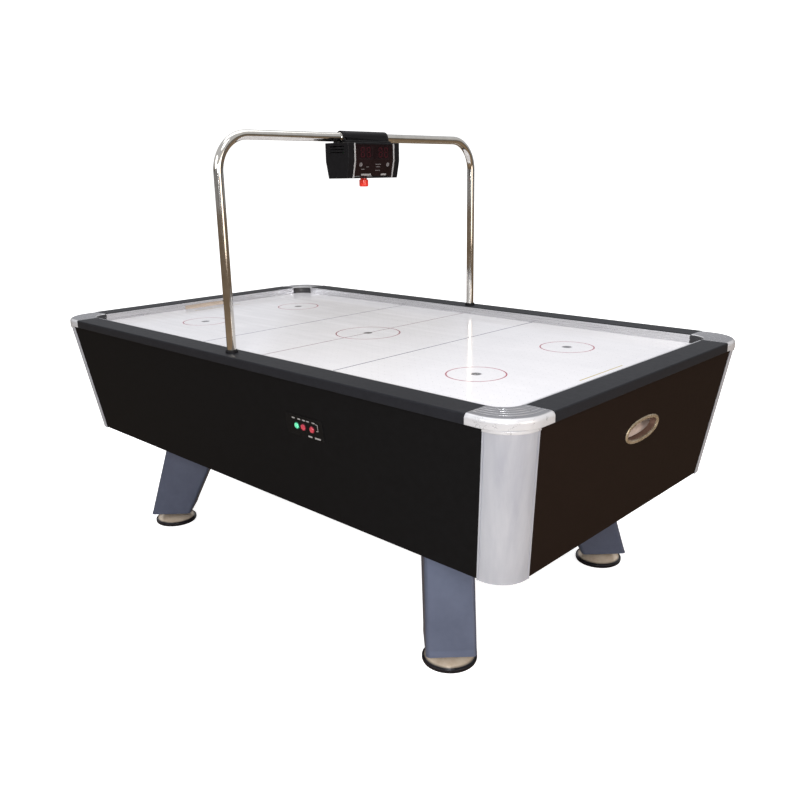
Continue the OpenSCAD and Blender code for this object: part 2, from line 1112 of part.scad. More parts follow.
// Smoked face that follows the bend between the two cheeks
module scorer_face() {
    slot = window_rim + gap;
    low = scorer_z + slot;
    low_x = scorer_t / 2 - kink_in * (kink_z - low) / (kink_z - scorer_z);
    color("#2e1f22")
        across_scorer(2 * face_half - 2 * gap)
            polygon([
                [scorer_t / 2, scorer_top - slot],
                [scorer_t / 2 - face_t, scorer_top - slot],
                [scorer_t / 2 - face_t, kink_z],
                [low_x - face_t, low],
                [low_x, low],
                [scorer_t / 2, kink_z]
            ]);
}

module scorer_face_right() {
    scorer_face();
}

module scorer_face_left() {
    left() scorer_face();
}

// Saddle clamped over the tube and screwed to the top of the housing
module scorer_saddle() {
    color("#161618")
        across_scorer(saddle_l)
            difference() {
                union() {
                    translate([0, arch_z])
                        circle(saddle_r);
                    translate([-saddle_r, scorer_top])
                        square([2 * saddle_r, arch_z - scorer_top]);
                    translate([-saddle_base_w / 2, scorer_top])
                        square([saddle_base_w, saddle_base_t]);
                }
                translate([0, arch_z])
                    circle(sleeve_r + gap / 3);
                translate([-saddle_r, scorer_top - saddle_r])
                    square([2 * saddle_r, saddle_r]);
            }
}

// Display board with its digit blocks on both sides
module scorer_board() {
    color("#2f5a3a")
        translate([0, 0, scorer_top - scorer_wall - display_h / 2]) {
            cube([display_t, 2 * face_half - 8, display_h], center = true);
            for (x = [-1, 1], y = [-1, 1])
                translate([x * (display_t + digit_t) / 2, y * digit_y, 0])
                    cube([digit_t, digit_w, digit_h], center = true);
        }
}

// Round-nosed button under the scorer that clears the score
module reset_button() {
    r = reset_d / 2;
    guide_r = r - reset_shoulder - gap;
    color("#d8402c")
        translate([0, 0, scorer_z]) {
            translate([0, 0, r - reset_drop])
                intersection() {
                    sphere(r);
                    translate([0, 0, -r])
                        cube([2 * r, 2 * r, 2 * r], center = true);
                }
            translate([0, 0, r - reset_drop])
                cylinder(r = r, h = reset_drop - r - reset_stroke - gap);
            translate([0, 0, -reset_stroke - over])
                cylinder(r = guide_r, h = reset_stroke + 12);
            // collar that keeps the button in the housing
            translate([0, 0, scorer_wall + gap])
                cylinder(r = guide_r + 3, h = 2);
        }
}

side_panel_front();
side_panel_back();
end_panel_left();
end_panel_right();
corner_post_front_left();
corner_post_front_right();
corner_post_back_left();
corner_post_back_right();
corner_cap_front_left();
corner_cap_front_right();
corner_cap_back_left();
corner_cap_back_right();
rail_front();
rail_back();
rail_left();
rail_right();
bumper_front();
bumper_back();
bumper_left();
bumper_right();
corner_bumpers();
playfield();
chamber_frame();
chamber_floor();
bottom_panel();
puck_chute_left();
puck_chute_right();
return_rim_left();
return_rim_right();
goal_sensors();
blower_housing();
blower_wheel();
blower_motor();
intake_grille();
power_box();
power_inlet();
control_plate();
button_green();
button_red_left();
button_red_right();
switch_bodies();
leg_front_left();
leg_front_right();
leg_back_left();
leg_back_right();
foot_front_left();
foot_front_right();
foot_back_left();
foot_back_right();
leg_bolts();
arch_tube_front();
arch_tube_back();
arch_sleeve();
arch_sockets();
scorer_housing();
scorer_face_left();
scorer_face_right();
scorer_saddle();
scorer_board();
reset_button();
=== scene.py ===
import json
import math

import bpy
from mathutils import Matrix, Vector


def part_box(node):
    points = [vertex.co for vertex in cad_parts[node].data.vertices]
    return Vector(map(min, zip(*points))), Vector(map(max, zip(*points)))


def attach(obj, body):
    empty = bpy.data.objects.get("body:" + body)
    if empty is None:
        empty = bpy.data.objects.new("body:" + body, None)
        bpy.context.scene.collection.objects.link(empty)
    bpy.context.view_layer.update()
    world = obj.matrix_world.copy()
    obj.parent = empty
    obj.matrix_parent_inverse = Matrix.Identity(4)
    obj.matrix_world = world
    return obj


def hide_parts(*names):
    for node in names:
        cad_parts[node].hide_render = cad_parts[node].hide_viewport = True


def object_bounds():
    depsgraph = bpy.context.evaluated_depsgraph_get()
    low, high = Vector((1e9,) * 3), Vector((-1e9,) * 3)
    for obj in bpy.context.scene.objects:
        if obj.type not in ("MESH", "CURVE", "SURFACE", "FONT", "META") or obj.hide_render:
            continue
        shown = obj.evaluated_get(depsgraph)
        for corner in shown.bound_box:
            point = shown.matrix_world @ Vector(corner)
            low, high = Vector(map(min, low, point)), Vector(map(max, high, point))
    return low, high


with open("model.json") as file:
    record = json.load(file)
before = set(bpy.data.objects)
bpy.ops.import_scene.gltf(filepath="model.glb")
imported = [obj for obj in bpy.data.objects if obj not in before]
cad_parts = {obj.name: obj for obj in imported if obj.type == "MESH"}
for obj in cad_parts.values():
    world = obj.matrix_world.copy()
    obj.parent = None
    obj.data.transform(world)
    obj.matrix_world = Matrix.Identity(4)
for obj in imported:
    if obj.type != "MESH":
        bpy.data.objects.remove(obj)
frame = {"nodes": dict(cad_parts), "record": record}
cadLow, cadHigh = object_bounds()
print("frame loaded:", len(frame["nodes"]), "nodes")

mm = 0.001
lean = math.radians(7.8)  # the cabinet's walls lean in by this much towards the floor
fine = 0.02 * mm  # two points closer than this are one


# small tools

def clearSelection():
    if bpy.context.object and bpy.context.object.mode != "OBJECT":
        bpy.ops.object.mode_set(mode="OBJECT")
    bpy.ops.object.select_all(action="DESELECT")


def makeActive(piece):
    clearSelection()
    piece.select_set(True)
    bpy.context.view_layer.objects.active = piece


def settle(name):
    # names the object just added and puts its place into its mesh
    piece = bpy.context.object
    piece.name = name
    piece.data.name = name
    bpy.ops.object.transform_apply(location=True, rotation=True, scale=True)
    return piece


def addBox(name, low, high):
    clearSelection()
    low, high = Vector(low), Vector(high)
    bpy.ops.mesh.primitive_cube_add(size=1, location=(low + high) / 2, scale=high - low)
    return settle(name)


def addRod(name, radius, low, high, sides=32, place=(0, 0)):
    # upright rod between two heights
    clearSelection()
    bpy.ops.mesh.primitive_cylinder_add(
        vertices=sides, radius=radius, depth=high - low, location=(place[0], place[1], (low + high) / 2)
    )
    return settle(name)


def pickFaces(piece, test):
    # leaves the piece in edit mode with the faces chosen by place and normal
    makeActive(piece)
    bpy.ops.object.mode_set(mode="EDIT")
    bpy.ops.mesh.select_mode(type="FACE")
    bpy.ops.mesh.select_all(action="DESELECT")
    bpy.ops.object.mode_set(mode="OBJECT")
    for face in piece.data.polygons:
        face.select = test(face.center, face.normal)
    bpy.ops.object.mode_set(mode="EDIT")


def pickEdges(piece, test):
    # the same for edges, chosen by their two ends
    makeActive(piece)
    bpy.ops.object.mode_set(mode="EDIT")
    bpy.ops.mesh.select_mode(type="EDGE")
    bpy.ops.mesh.select_all(action="DESELECT")
    bpy.ops.object.mode_set(mode="OBJECT")
    points = piece.data.vertices
    for edge in piece.data.edges:
        edge.select = test(points[edge.vertices[0]].co, points[edge.vertices[1]].co)
    bpy.ops.object.mode_set(mode="EDIT")


def mendSurface(piece):
    # merges doubles and turns every face outwards
    makeActive(piece)
    bpy.ops.object.mode_set(mode="EDIT")
    bpy.ops.mesh.select_all(action="SELECT")
    bpy.ops.mesh.remove_doubles(threshold=fine)
    bpy.ops.mesh.normals_make_consistent(inside=False)
    bpy.ops.object.mode_set(mode="OBJECT")


def applyModifier(piece, kind, **settings):
    makeActive(piece)
    modifier = piece.modifiers.new(kind.lower(), kind)
    for key, value in settings.items():
        setattr(modifier, key, value)
    bpy.ops.object.modifier_apply(modifier=modifier.name)


def roundEdges(piece, width, segments=2, angle=30):
    applyModifier(
        piece, "BEVEL", width=width, segments=segments, limit_method="ANGLE",
        angle_limit=math.radians(angle), use_clamp_overlap=True,
    )


def cutWith(piece, cutter):
    # takes the cutter's shape out of the piece
    applyModifier(piece, "BOOLEAN", operation="DIFFERENCE", solver="EXACT", object=cutter)
    bpy.data.objects.remove(cutter)


def joinInto(piece, others):
    makeActive(piece)
    for other in others:
        other.select_set(True)
    bpy.ops.object.join()
    return piece


def placeWith(piece, matrix):
    # moves a piece made in its own frame to where it belongs
    makeActive(piece)
    piece.matrix_world = matrix
    bpy.ops.object.transform_apply(location=True, rotation=True, scale=True)


def startPath(name, point):
    # a single selected point in edit mode, ready to be drawn on
    clearSelection()
    bpy.ops.mesh.primitive_plane_add(size=mm, location=point)
    piece = settle(name)
    bpy.ops.object.mode_set(mode="EDIT")
    bpy.ops.mesh.select_mode(type="VERT")
    bpy.ops.mesh.merge(type="CENTER")
    return piece


def drawOn(start, points):
    last = Vector(start)
    for point in points:
        bpy.ops.mesh.extrude_region_move(TRANSFORM_OT_translate={"value": Vector(point) - last})
        last = Vector(point)


def drawOutline(name, points):
    # closed outline, left in edit mode with all of it selected
    piece = startPath(name, points[0])
    drawOn(points[0], points[1:] + points[:1])
    bpy.ops.mesh.select_all(action="SELECT")
    bpy.ops.mesh.remove_doubles(threshold=fine)
    return piece


def addPrism(name, points, travel):
    # flat outline filled and pushed along
    piece = drawOutline(name, points)
    bpy.ops.mesh.edge_face_add()
    bpy.ops.mesh.extrude_region_move(TRANSFORM_OT_translate={"value": Vector(travel)})
    mendSurface(piece)
    return piece


def turnOutline(name, outline, centre=(0, 0, 0), axis=(0, 0, 1), steps=48):
    # radius and height pairs drawn from the axis and back to it, then spun once round
    start = Vector((outline[0][0], 0, outline[0][1]))
    piece = startPath(name, start)
    drawOn(start, [(r, 0, z) for r, z in outline[1:]])
    bpy.ops.mesh.select_all(action="SELECT")
    bpy.ops.mesh.spin(steps=steps, angle=math.tau, center=(0, 0, 0), axis=(0, 0, 1))
    mendSurface(piece)
    turn = Vector((0, 0, 1)).rotation_difference(Vector(axis)).to_matrix().to_4x4()
    placeWith(piece, Matrix.Translation(centre) @ turn)
    return piece


def mirrored(piece, name, sideX, sideY):
    # copy with its own mesh at another corner of the table
    makeActive(piece)
    bpy.ops.object.duplicate(linked=False)
    twin = bpy.context.object
    twin.name = name
    twin.data.name = name
    if (sideX, sideY) != (1, 1):
        twin.scale = (sideX, sideY, 1)
        bpy.ops.object.transform_apply(location=True, rotation=True, scale=True)
        mendSurface(twin)
    return twin


def copyOfNode(node, name=None):
    # merged copy of a CAD node's mesh, ready to have its edges broken
    clearSelection()
    source = frame["nodes"][node]
    piece = bpy.data.objects.new(name or node + "_shape", source.data.copy())
    bpy.context.scene.collection.objects.link(piece)
    piece.data.materials.clear()
    makeActive(piece)
    bpy.ops.object.mode_set(mode="EDIT")
    bpy.ops.mesh.select_all(action="SELECT")
    bpy.ops.mesh.remove_doubles(threshold=fine)
    bpy.ops.mesh.dissolve_limited(angle_limit=math.radians(0.5))
    bpy.ops.object.mode_set(mode="OBJECT")
    return piece


def finishPiece(piece, body, material, nodes=(), angle=35):
    makeActive(piece)
    piece.data.materials.clear()
    piece.data.materials.append(material)
    bpy.ops.object.shade_smooth_by_angle(angle=math.radians(angle))
    applyModifier(piece, "WEIGHTED_NORMAL", keep_sharp=True)
    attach(piece, body)
    if nodes:
        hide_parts(*nodes)


def sizeOf(node):
    low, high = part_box(node)
    return high - low


def middleOf(node):
    low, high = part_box(node)
    return (low + high) / 2


corners = {
    "front_right": (1, 1),
    "front_left": (-1, 1),
    "back_right": (1, -1),
    "back_left": (-1, -1),
}  # sides to mirror a front right piece to

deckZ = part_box("playfield")[1].z
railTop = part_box("rail_front")[1].z
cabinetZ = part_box("side_panel_front")[0].z
halfLength = cadHigh.x
halfWidth = cadHigh.y
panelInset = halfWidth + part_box("side_panel_front")[0].y


def wallX(z):
    return halfLength - panelInset - (deckZ - z) * math.tan(lean)


def wallY(z):
    return halfWidth - panelInset - (deckZ - z) * math.tan(lean)


# shared surface effects

def addNode(tree, kind, place=(0, 0), **inputs):
    node = tree.nodes.new(kind)
    node.location = place
    for key, value in inputs.items():
        node.inputs[key.replace("_", " ")].default_value = value
    return node


def newGroup(name, inputs, outputs):
    # inputs are name: (kind, default), outputs are name: kind
    group = bpy.data.node_groups.new(name, "ShaderNodeTree")
    for label, (kind, value) in inputs.items():
        group.interface.new_socket(label, in_out="INPUT", socket_type=kind).default_value = value
    for label, kind in outputs.items():
        group.interface.new_socket(label, in_out="OUTPUT", socket_type=kind)
    return group, addNode(group, "NodeGroupInput", (-900, 0)), addNode(group, "NodeGroupOutput", (900, 0))


def mathNode(tree, operation, place, first=None, second=None, clamp=False):
    # numbers are set on the node, sockets are linked to it
    node = tree.nodes.new("ShaderNodeMath")
    node.operation = operation
    node.location = place
    node.use_clamp = clamp
    for index, value in enumerate((first, second)):
        if value is None:
            continue
        if isinstance(value, (int, float)):
            node.inputs[index].default_value = value
        else:
            tree.links.new(value, node.inputs[index])
    return node.outputs[0]


def rangeNode(tree, value, fromLow, fromHigh, toLow, toHigh, place=(0, 0)):
    node = addNode(tree, "ShaderNodeMapRange", place)
    node.clamp = True
    tree.links.new(value, node.inputs["Value"])
    for key, number in (
        ("From Min", fromLow), ("From Max", fromHigh), ("To Min", toLow), ("To Max", toHigh)
    ):
        node.inputs[key].default_value = number
    return node.outputs["Result"]


def mixColours(tree, factor, first, second, place=(0, 0)):
    node = tree.nodes.new("ShaderNodeMix")
    node.data_type = "RGBA"
    node.location = place
    tree.links.new(factor, node.inputs["Factor"])
    for key, value in (("A", first), ("B", second)):
        socket = [s for s in node.inputs if s.name == key and s.type == "RGBA"][0]
        if isinstance(value, tuple):
            socket.default_value = (*value, 1)
        else:
            tree.links.new(value, socket)
    return [s for s in node.outputs if s.type == "RGBA"][0]


def makeMottle():
    # broad and fine noise together, for tone that drifts over a surface
    group, start, end = newGroup(
        "mottle",
        {
            "Place": ("NodeSocketVector", (0, 0, 0)), "Scale": ("NodeSocketFloat", 10),
            "Detail": ("NodeSocketFloat", 3)
        },
        {"Tone": "NodeSocketFloat"},
    )
    broad = addNode(group, "ShaderNodeTexNoise", (-600, 120))
    small = addNode(group, "ShaderNodeTexNoise", (-600, -160), Detail=1)
    group.links.new(start.outputs["Place"], broad.inputs["Vector"])
    group.links.new(start.outputs["Place"], small.inputs["Vector"])
    group.links.new(start.outputs["Scale"], broad.inputs["Scale"])
    group.links.new(start.outputs["Detail"], broad.inputs["Detail"])
    finer = mathNode(group, "MULTIPLY", (-760, -220), start.outputs["Scale"], 6.3)
    group.links.new(finer, small.inputs["Scale"])
    most = mathNode(group, "MULTIPLY", (-380, 120), broad.outputs["Fac"], 0.7)
    rest = mathNode(group, "MULTIPLY", (-380, -160), small.outputs["Fac"], 0.3)
    both = mathNode(group, "ADD", (-200, 0), most, rest)
    group.links.new(rangeNode(group, both, 0.26, 0.74, 0, 1), end.inputs["Tone"])
    return group


def makeGrain():
    # pitted texture of laminate, moulded plastic and paint
    group, start, end = newGroup(
        "grain",
        {"Place": ("NodeSocketVector", (0, 0, 0)), "Scale": ("NodeSocketFloat", 600)},
        {"Height": "NodeSocketFloat"},
    )
    pits = addNode(group, "ShaderNodeTexVoronoi", (-600, 120))
    rough = addNode(group, "ShaderNodeTexNoise", (-600, -160), Detail=3)
    for node in (pits, rough):
        group.links.new(start.outputs["Place"], node.inputs["Vector"])
        group.links.new(start.outputs["Scale"], node.inputs["Scale"])
    group.links.new(
        mathNode(
            group, "ADD", (-200, 0), pits.outputs["Distance"], rough.outputs["Fac"]
        ), end.inputs["Height"]
    )
    return group


def makeStreaks():
    # noise drawn out along one way, for brushed metal, wiped gloss and wood
    group, start, end = newGroup(
        "streaks",
        {"Place": ("NodeSocketVector", (0, 0, 0)), "Stretch": ("NodeSocketVector", (1, 1, 1))},
        {"Lines": "NodeSocketFloat"},
    )
    drawn = group.nodes.new("ShaderNodeVectorMath")
    drawn.operation = "MULTIPLY"
    drawn.location = (-600, 0)
    group.links.new(start.outputs["Place"], drawn.inputs[0])
    group.links.new(start.outputs["Stretch"], drawn.inputs[1])
    noise = addNode(group, "ShaderNodeTexNoise", (-400, 0), Scale=1, Detail=4, Roughness=0.6)
    group.links.new(drawn.outputs["Vector"], noise.inputs["Vector"])
    group.links.new(rangeNode(group, noise.outputs["Fac"], 0.3, 0.7, 0, 1), end.inputs["Lines"])
    return group


def makeEdgeWear():
    # mask along outer edges, broken up by noise
    group, start, end = newGroup(
        "edgeWear",
        {
            "Place": ("NodeSocketVector", (0, 0, 0)), "Scale": ("NodeSocketFloat", 40),
            "Amount": ("NodeSocketFloat", 0.5)
        },
        {"Mask": "NodeSocketFloat"},
    )
    shape = addNode(group, "ShaderNodeNewGeometry", (-800, 260))
    softened = addNode(group, "ShaderNodeBevel", (-800, 60), Radius=1.6 * mm)
    alike = group.nodes.new("ShaderNodeVectorMath")
    alike.operation = "DOT_PRODUCT"
    alike.location = (-600, 160)
    group.links.new(shape.outputs["Normal"], alike.inputs[0])
    group.links.new(softened.outputs["Normal"], alike.inputs[1])
    edges = rangeNode(group, alike.outputs["Value"], 0.80, 0.985, 1, 0, (-400, 160))
    noise = addNode(group, "ShaderNodeTexNoise", (-600, -160), Detail=4)
    group.links.new(start.outputs["Place"], noise.inputs["Vector"])
    group.links.new(start.outputs["Scale"], noise.inputs["Scale"])
    broken = rangeNode(group, noise.outputs["Fac"], 0.4, 0.62, 0, 1, (-400, -160))
    worn = mathNode(group, "MULTIPLY", (-200, 0), edges, broken)
    group.links.new(
        mathNode(group, "MULTIPLY", (0, 0), worn, start.outputs["Amount"], True), end.inputs["Mask"]
    )
    return group


def makeDust():
    # thin dust on whatever faces up
    group, start, end = newGroup(
        "settledDust",
        {"Place": ("NodeSocketVector", (0, 0, 0)), "Amount": ("NodeSocketFloat", 0.2)},
        {"Mask": "NodeSocketFloat"},
    )
    shape = addNode(group, "ShaderNodeNewGeometry", (-700, 160))
    parts = addNode(group, "ShaderNodeSeparateXYZ", (-520, 160))
    group.links.new(shape.outputs["Normal"], parts.inputs[0])
    up = rangeNode(group, parts.outputs["Z"], 0.5, 1, 0, 1, (-340, 160))
    noise = addNode(group, "ShaderNodeTexNoise", (-600, -160), Scale=14, Detail=6)
    group.links.new(start.outputs["Place"], noise.inputs["Vector"])
    patchy = rangeNode(group, noise.outputs["Fac"], 0.35, 0.75, 0, 1, (-400, -160))
    laid = mathNode(group, "MULTIPLY", (-200, 0), up, patchy)
    group.links.new(
        mathNode(group, "MULTIPLY", (0, 0), laid, start.outputs["Amount"], True), end.inputs["Mask"]
    )
    return group


effects = {
    "mottle": makeMottle(),
    "grain": makeGrain(),
    "streaks": makeStreaks(),
    "edgeWear": makeEdgeWear(),
    "dust": makeDust(),
}


def useEffect(tree, name, place, vector, **inputs):
    node = tree.nodes.new("ShaderNodeGroup")
    node.node_tree = effects[name]
    node.location = place
    tree.links.new(vector, node.inputs["Place"])
    for key, value in inputs.items():
        node.inputs[key].default_value = value
    return node.outputs[0]


# materials

def startMaterial(name, shaderValues):
    material = bpy.data.materials.new(name)
    material.use_nodes = True
    tree = material.node_tree
    shader = tree.nodes["Principled BSDF"]
    for key, value in shaderValues.items():
        shader.inputs[key].default_value = value
    coordinates = addNode(tree, "ShaderNodeTexCoord", (-1500, 0))
    return material, tree, shader, coordinates.outputs["Object"]


def addBump(tree, shader, height, strength, distance):
    bump = addNode(tree, "ShaderNodeBump", (-200, -500), Strength=strength, Distance=distance)
    tree.links.new(height, bump.inputs["Height"])
    tree.links.new(bump.outputs["Normal"], shader.inputs["Normal"])


def makeSurface(name, look):
    # look holds the tones, the roughness between low and high, the grain and how worn and dusty it is
    material, tree, shader, place = startMaterial(name, look.get("shader", {}))
    if "stretch" in look:
        tone = useEffect(tree, "streaks", (-1100, 200), place, Stretch=look["stretch"])
    else:
        tone = useEffect(tree, "mottle", (-1100, 200), place, Scale=look.get("mottle", 8), Detail=4)
    colour = mixColours(tree, tone, look["dark"], look["light"], (-800, 300))
    rough = rangeNode(tree, tone, 0, 1, *look["rough"], (-800, 0))
    if look.get("wear"):
        worn = useEffect(
            tree, "edgeWear", (-1100, -100), place, Scale=look.get("wearScale", 60), Amount=look["wear"]
        )
        colour = mixColours(tree, worn, colour, look["wearTone"], (-600, 300))
    if look.get("top"):
        # painted shade: faces turned up get a darker tone than the sides and grooves, so the sides read as
        # the bright band
        shape = addNode(tree, "ShaderNodeNewGeometry", (-1000, 800))
        facing = addNode(tree, "ShaderNodeSeparateXYZ", (-800, 800))
        tree.links.new(shape.outputs["Normal"], facing.inputs[0])
        paintedTopShade = rangeNode(tree, facing.outputs["Z"], 0.86, 0.985, 0, 1, (-600, 800))
        colour = mixColours(tree, paintedTopShade, colour, look["top"], (-500, 600))
    if look.get("foot"):
        # darkened band round the bottom of the piece
        parts = addNode(tree, "ShaderNodeSeparateXYZ", (-800, 600))
        tree.links.new(place, parts.inputs[0])
        low, high = look["footHigh"]
        band = rangeNode(tree, parts.outputs["Z"], low * mm, high * mm, 1, 0, (-600, 600))
        colour = mixColours(tree, band, colour, look["foot"], (-500, 400))
    if look.get("dust"):
        dusty = useEffect(tree, "dust", (-1100, -300), place, Amount=look["dust"])
        colour = mixColours(tree, dusty, colour, (0.42, 0.40, 0.38), (-400, 300))
        rough = mathNode(
            tree, "ADD", (-400, 0), rough, mathNode(tree, "MULTIPLY", (-600, -60), dusty, 0.4), True
        )
    tree.links.new(colour, shader.inputs["Base Color"])
    tree.links.new(rough, shader.inputs["Roughness"])
    grain = useEffect(tree, "grain", (-1100, -500), place, Scale=look["grain"])
    if look.get("bumpStretch"):
        grain = useEffect(tree, "streaks", (-1100, -700), place, Stretch=look["bumpStretch"])
    addBump(tree, shader, grain, look["bump"], look.get("depth", 0.15 * mm))
    return material


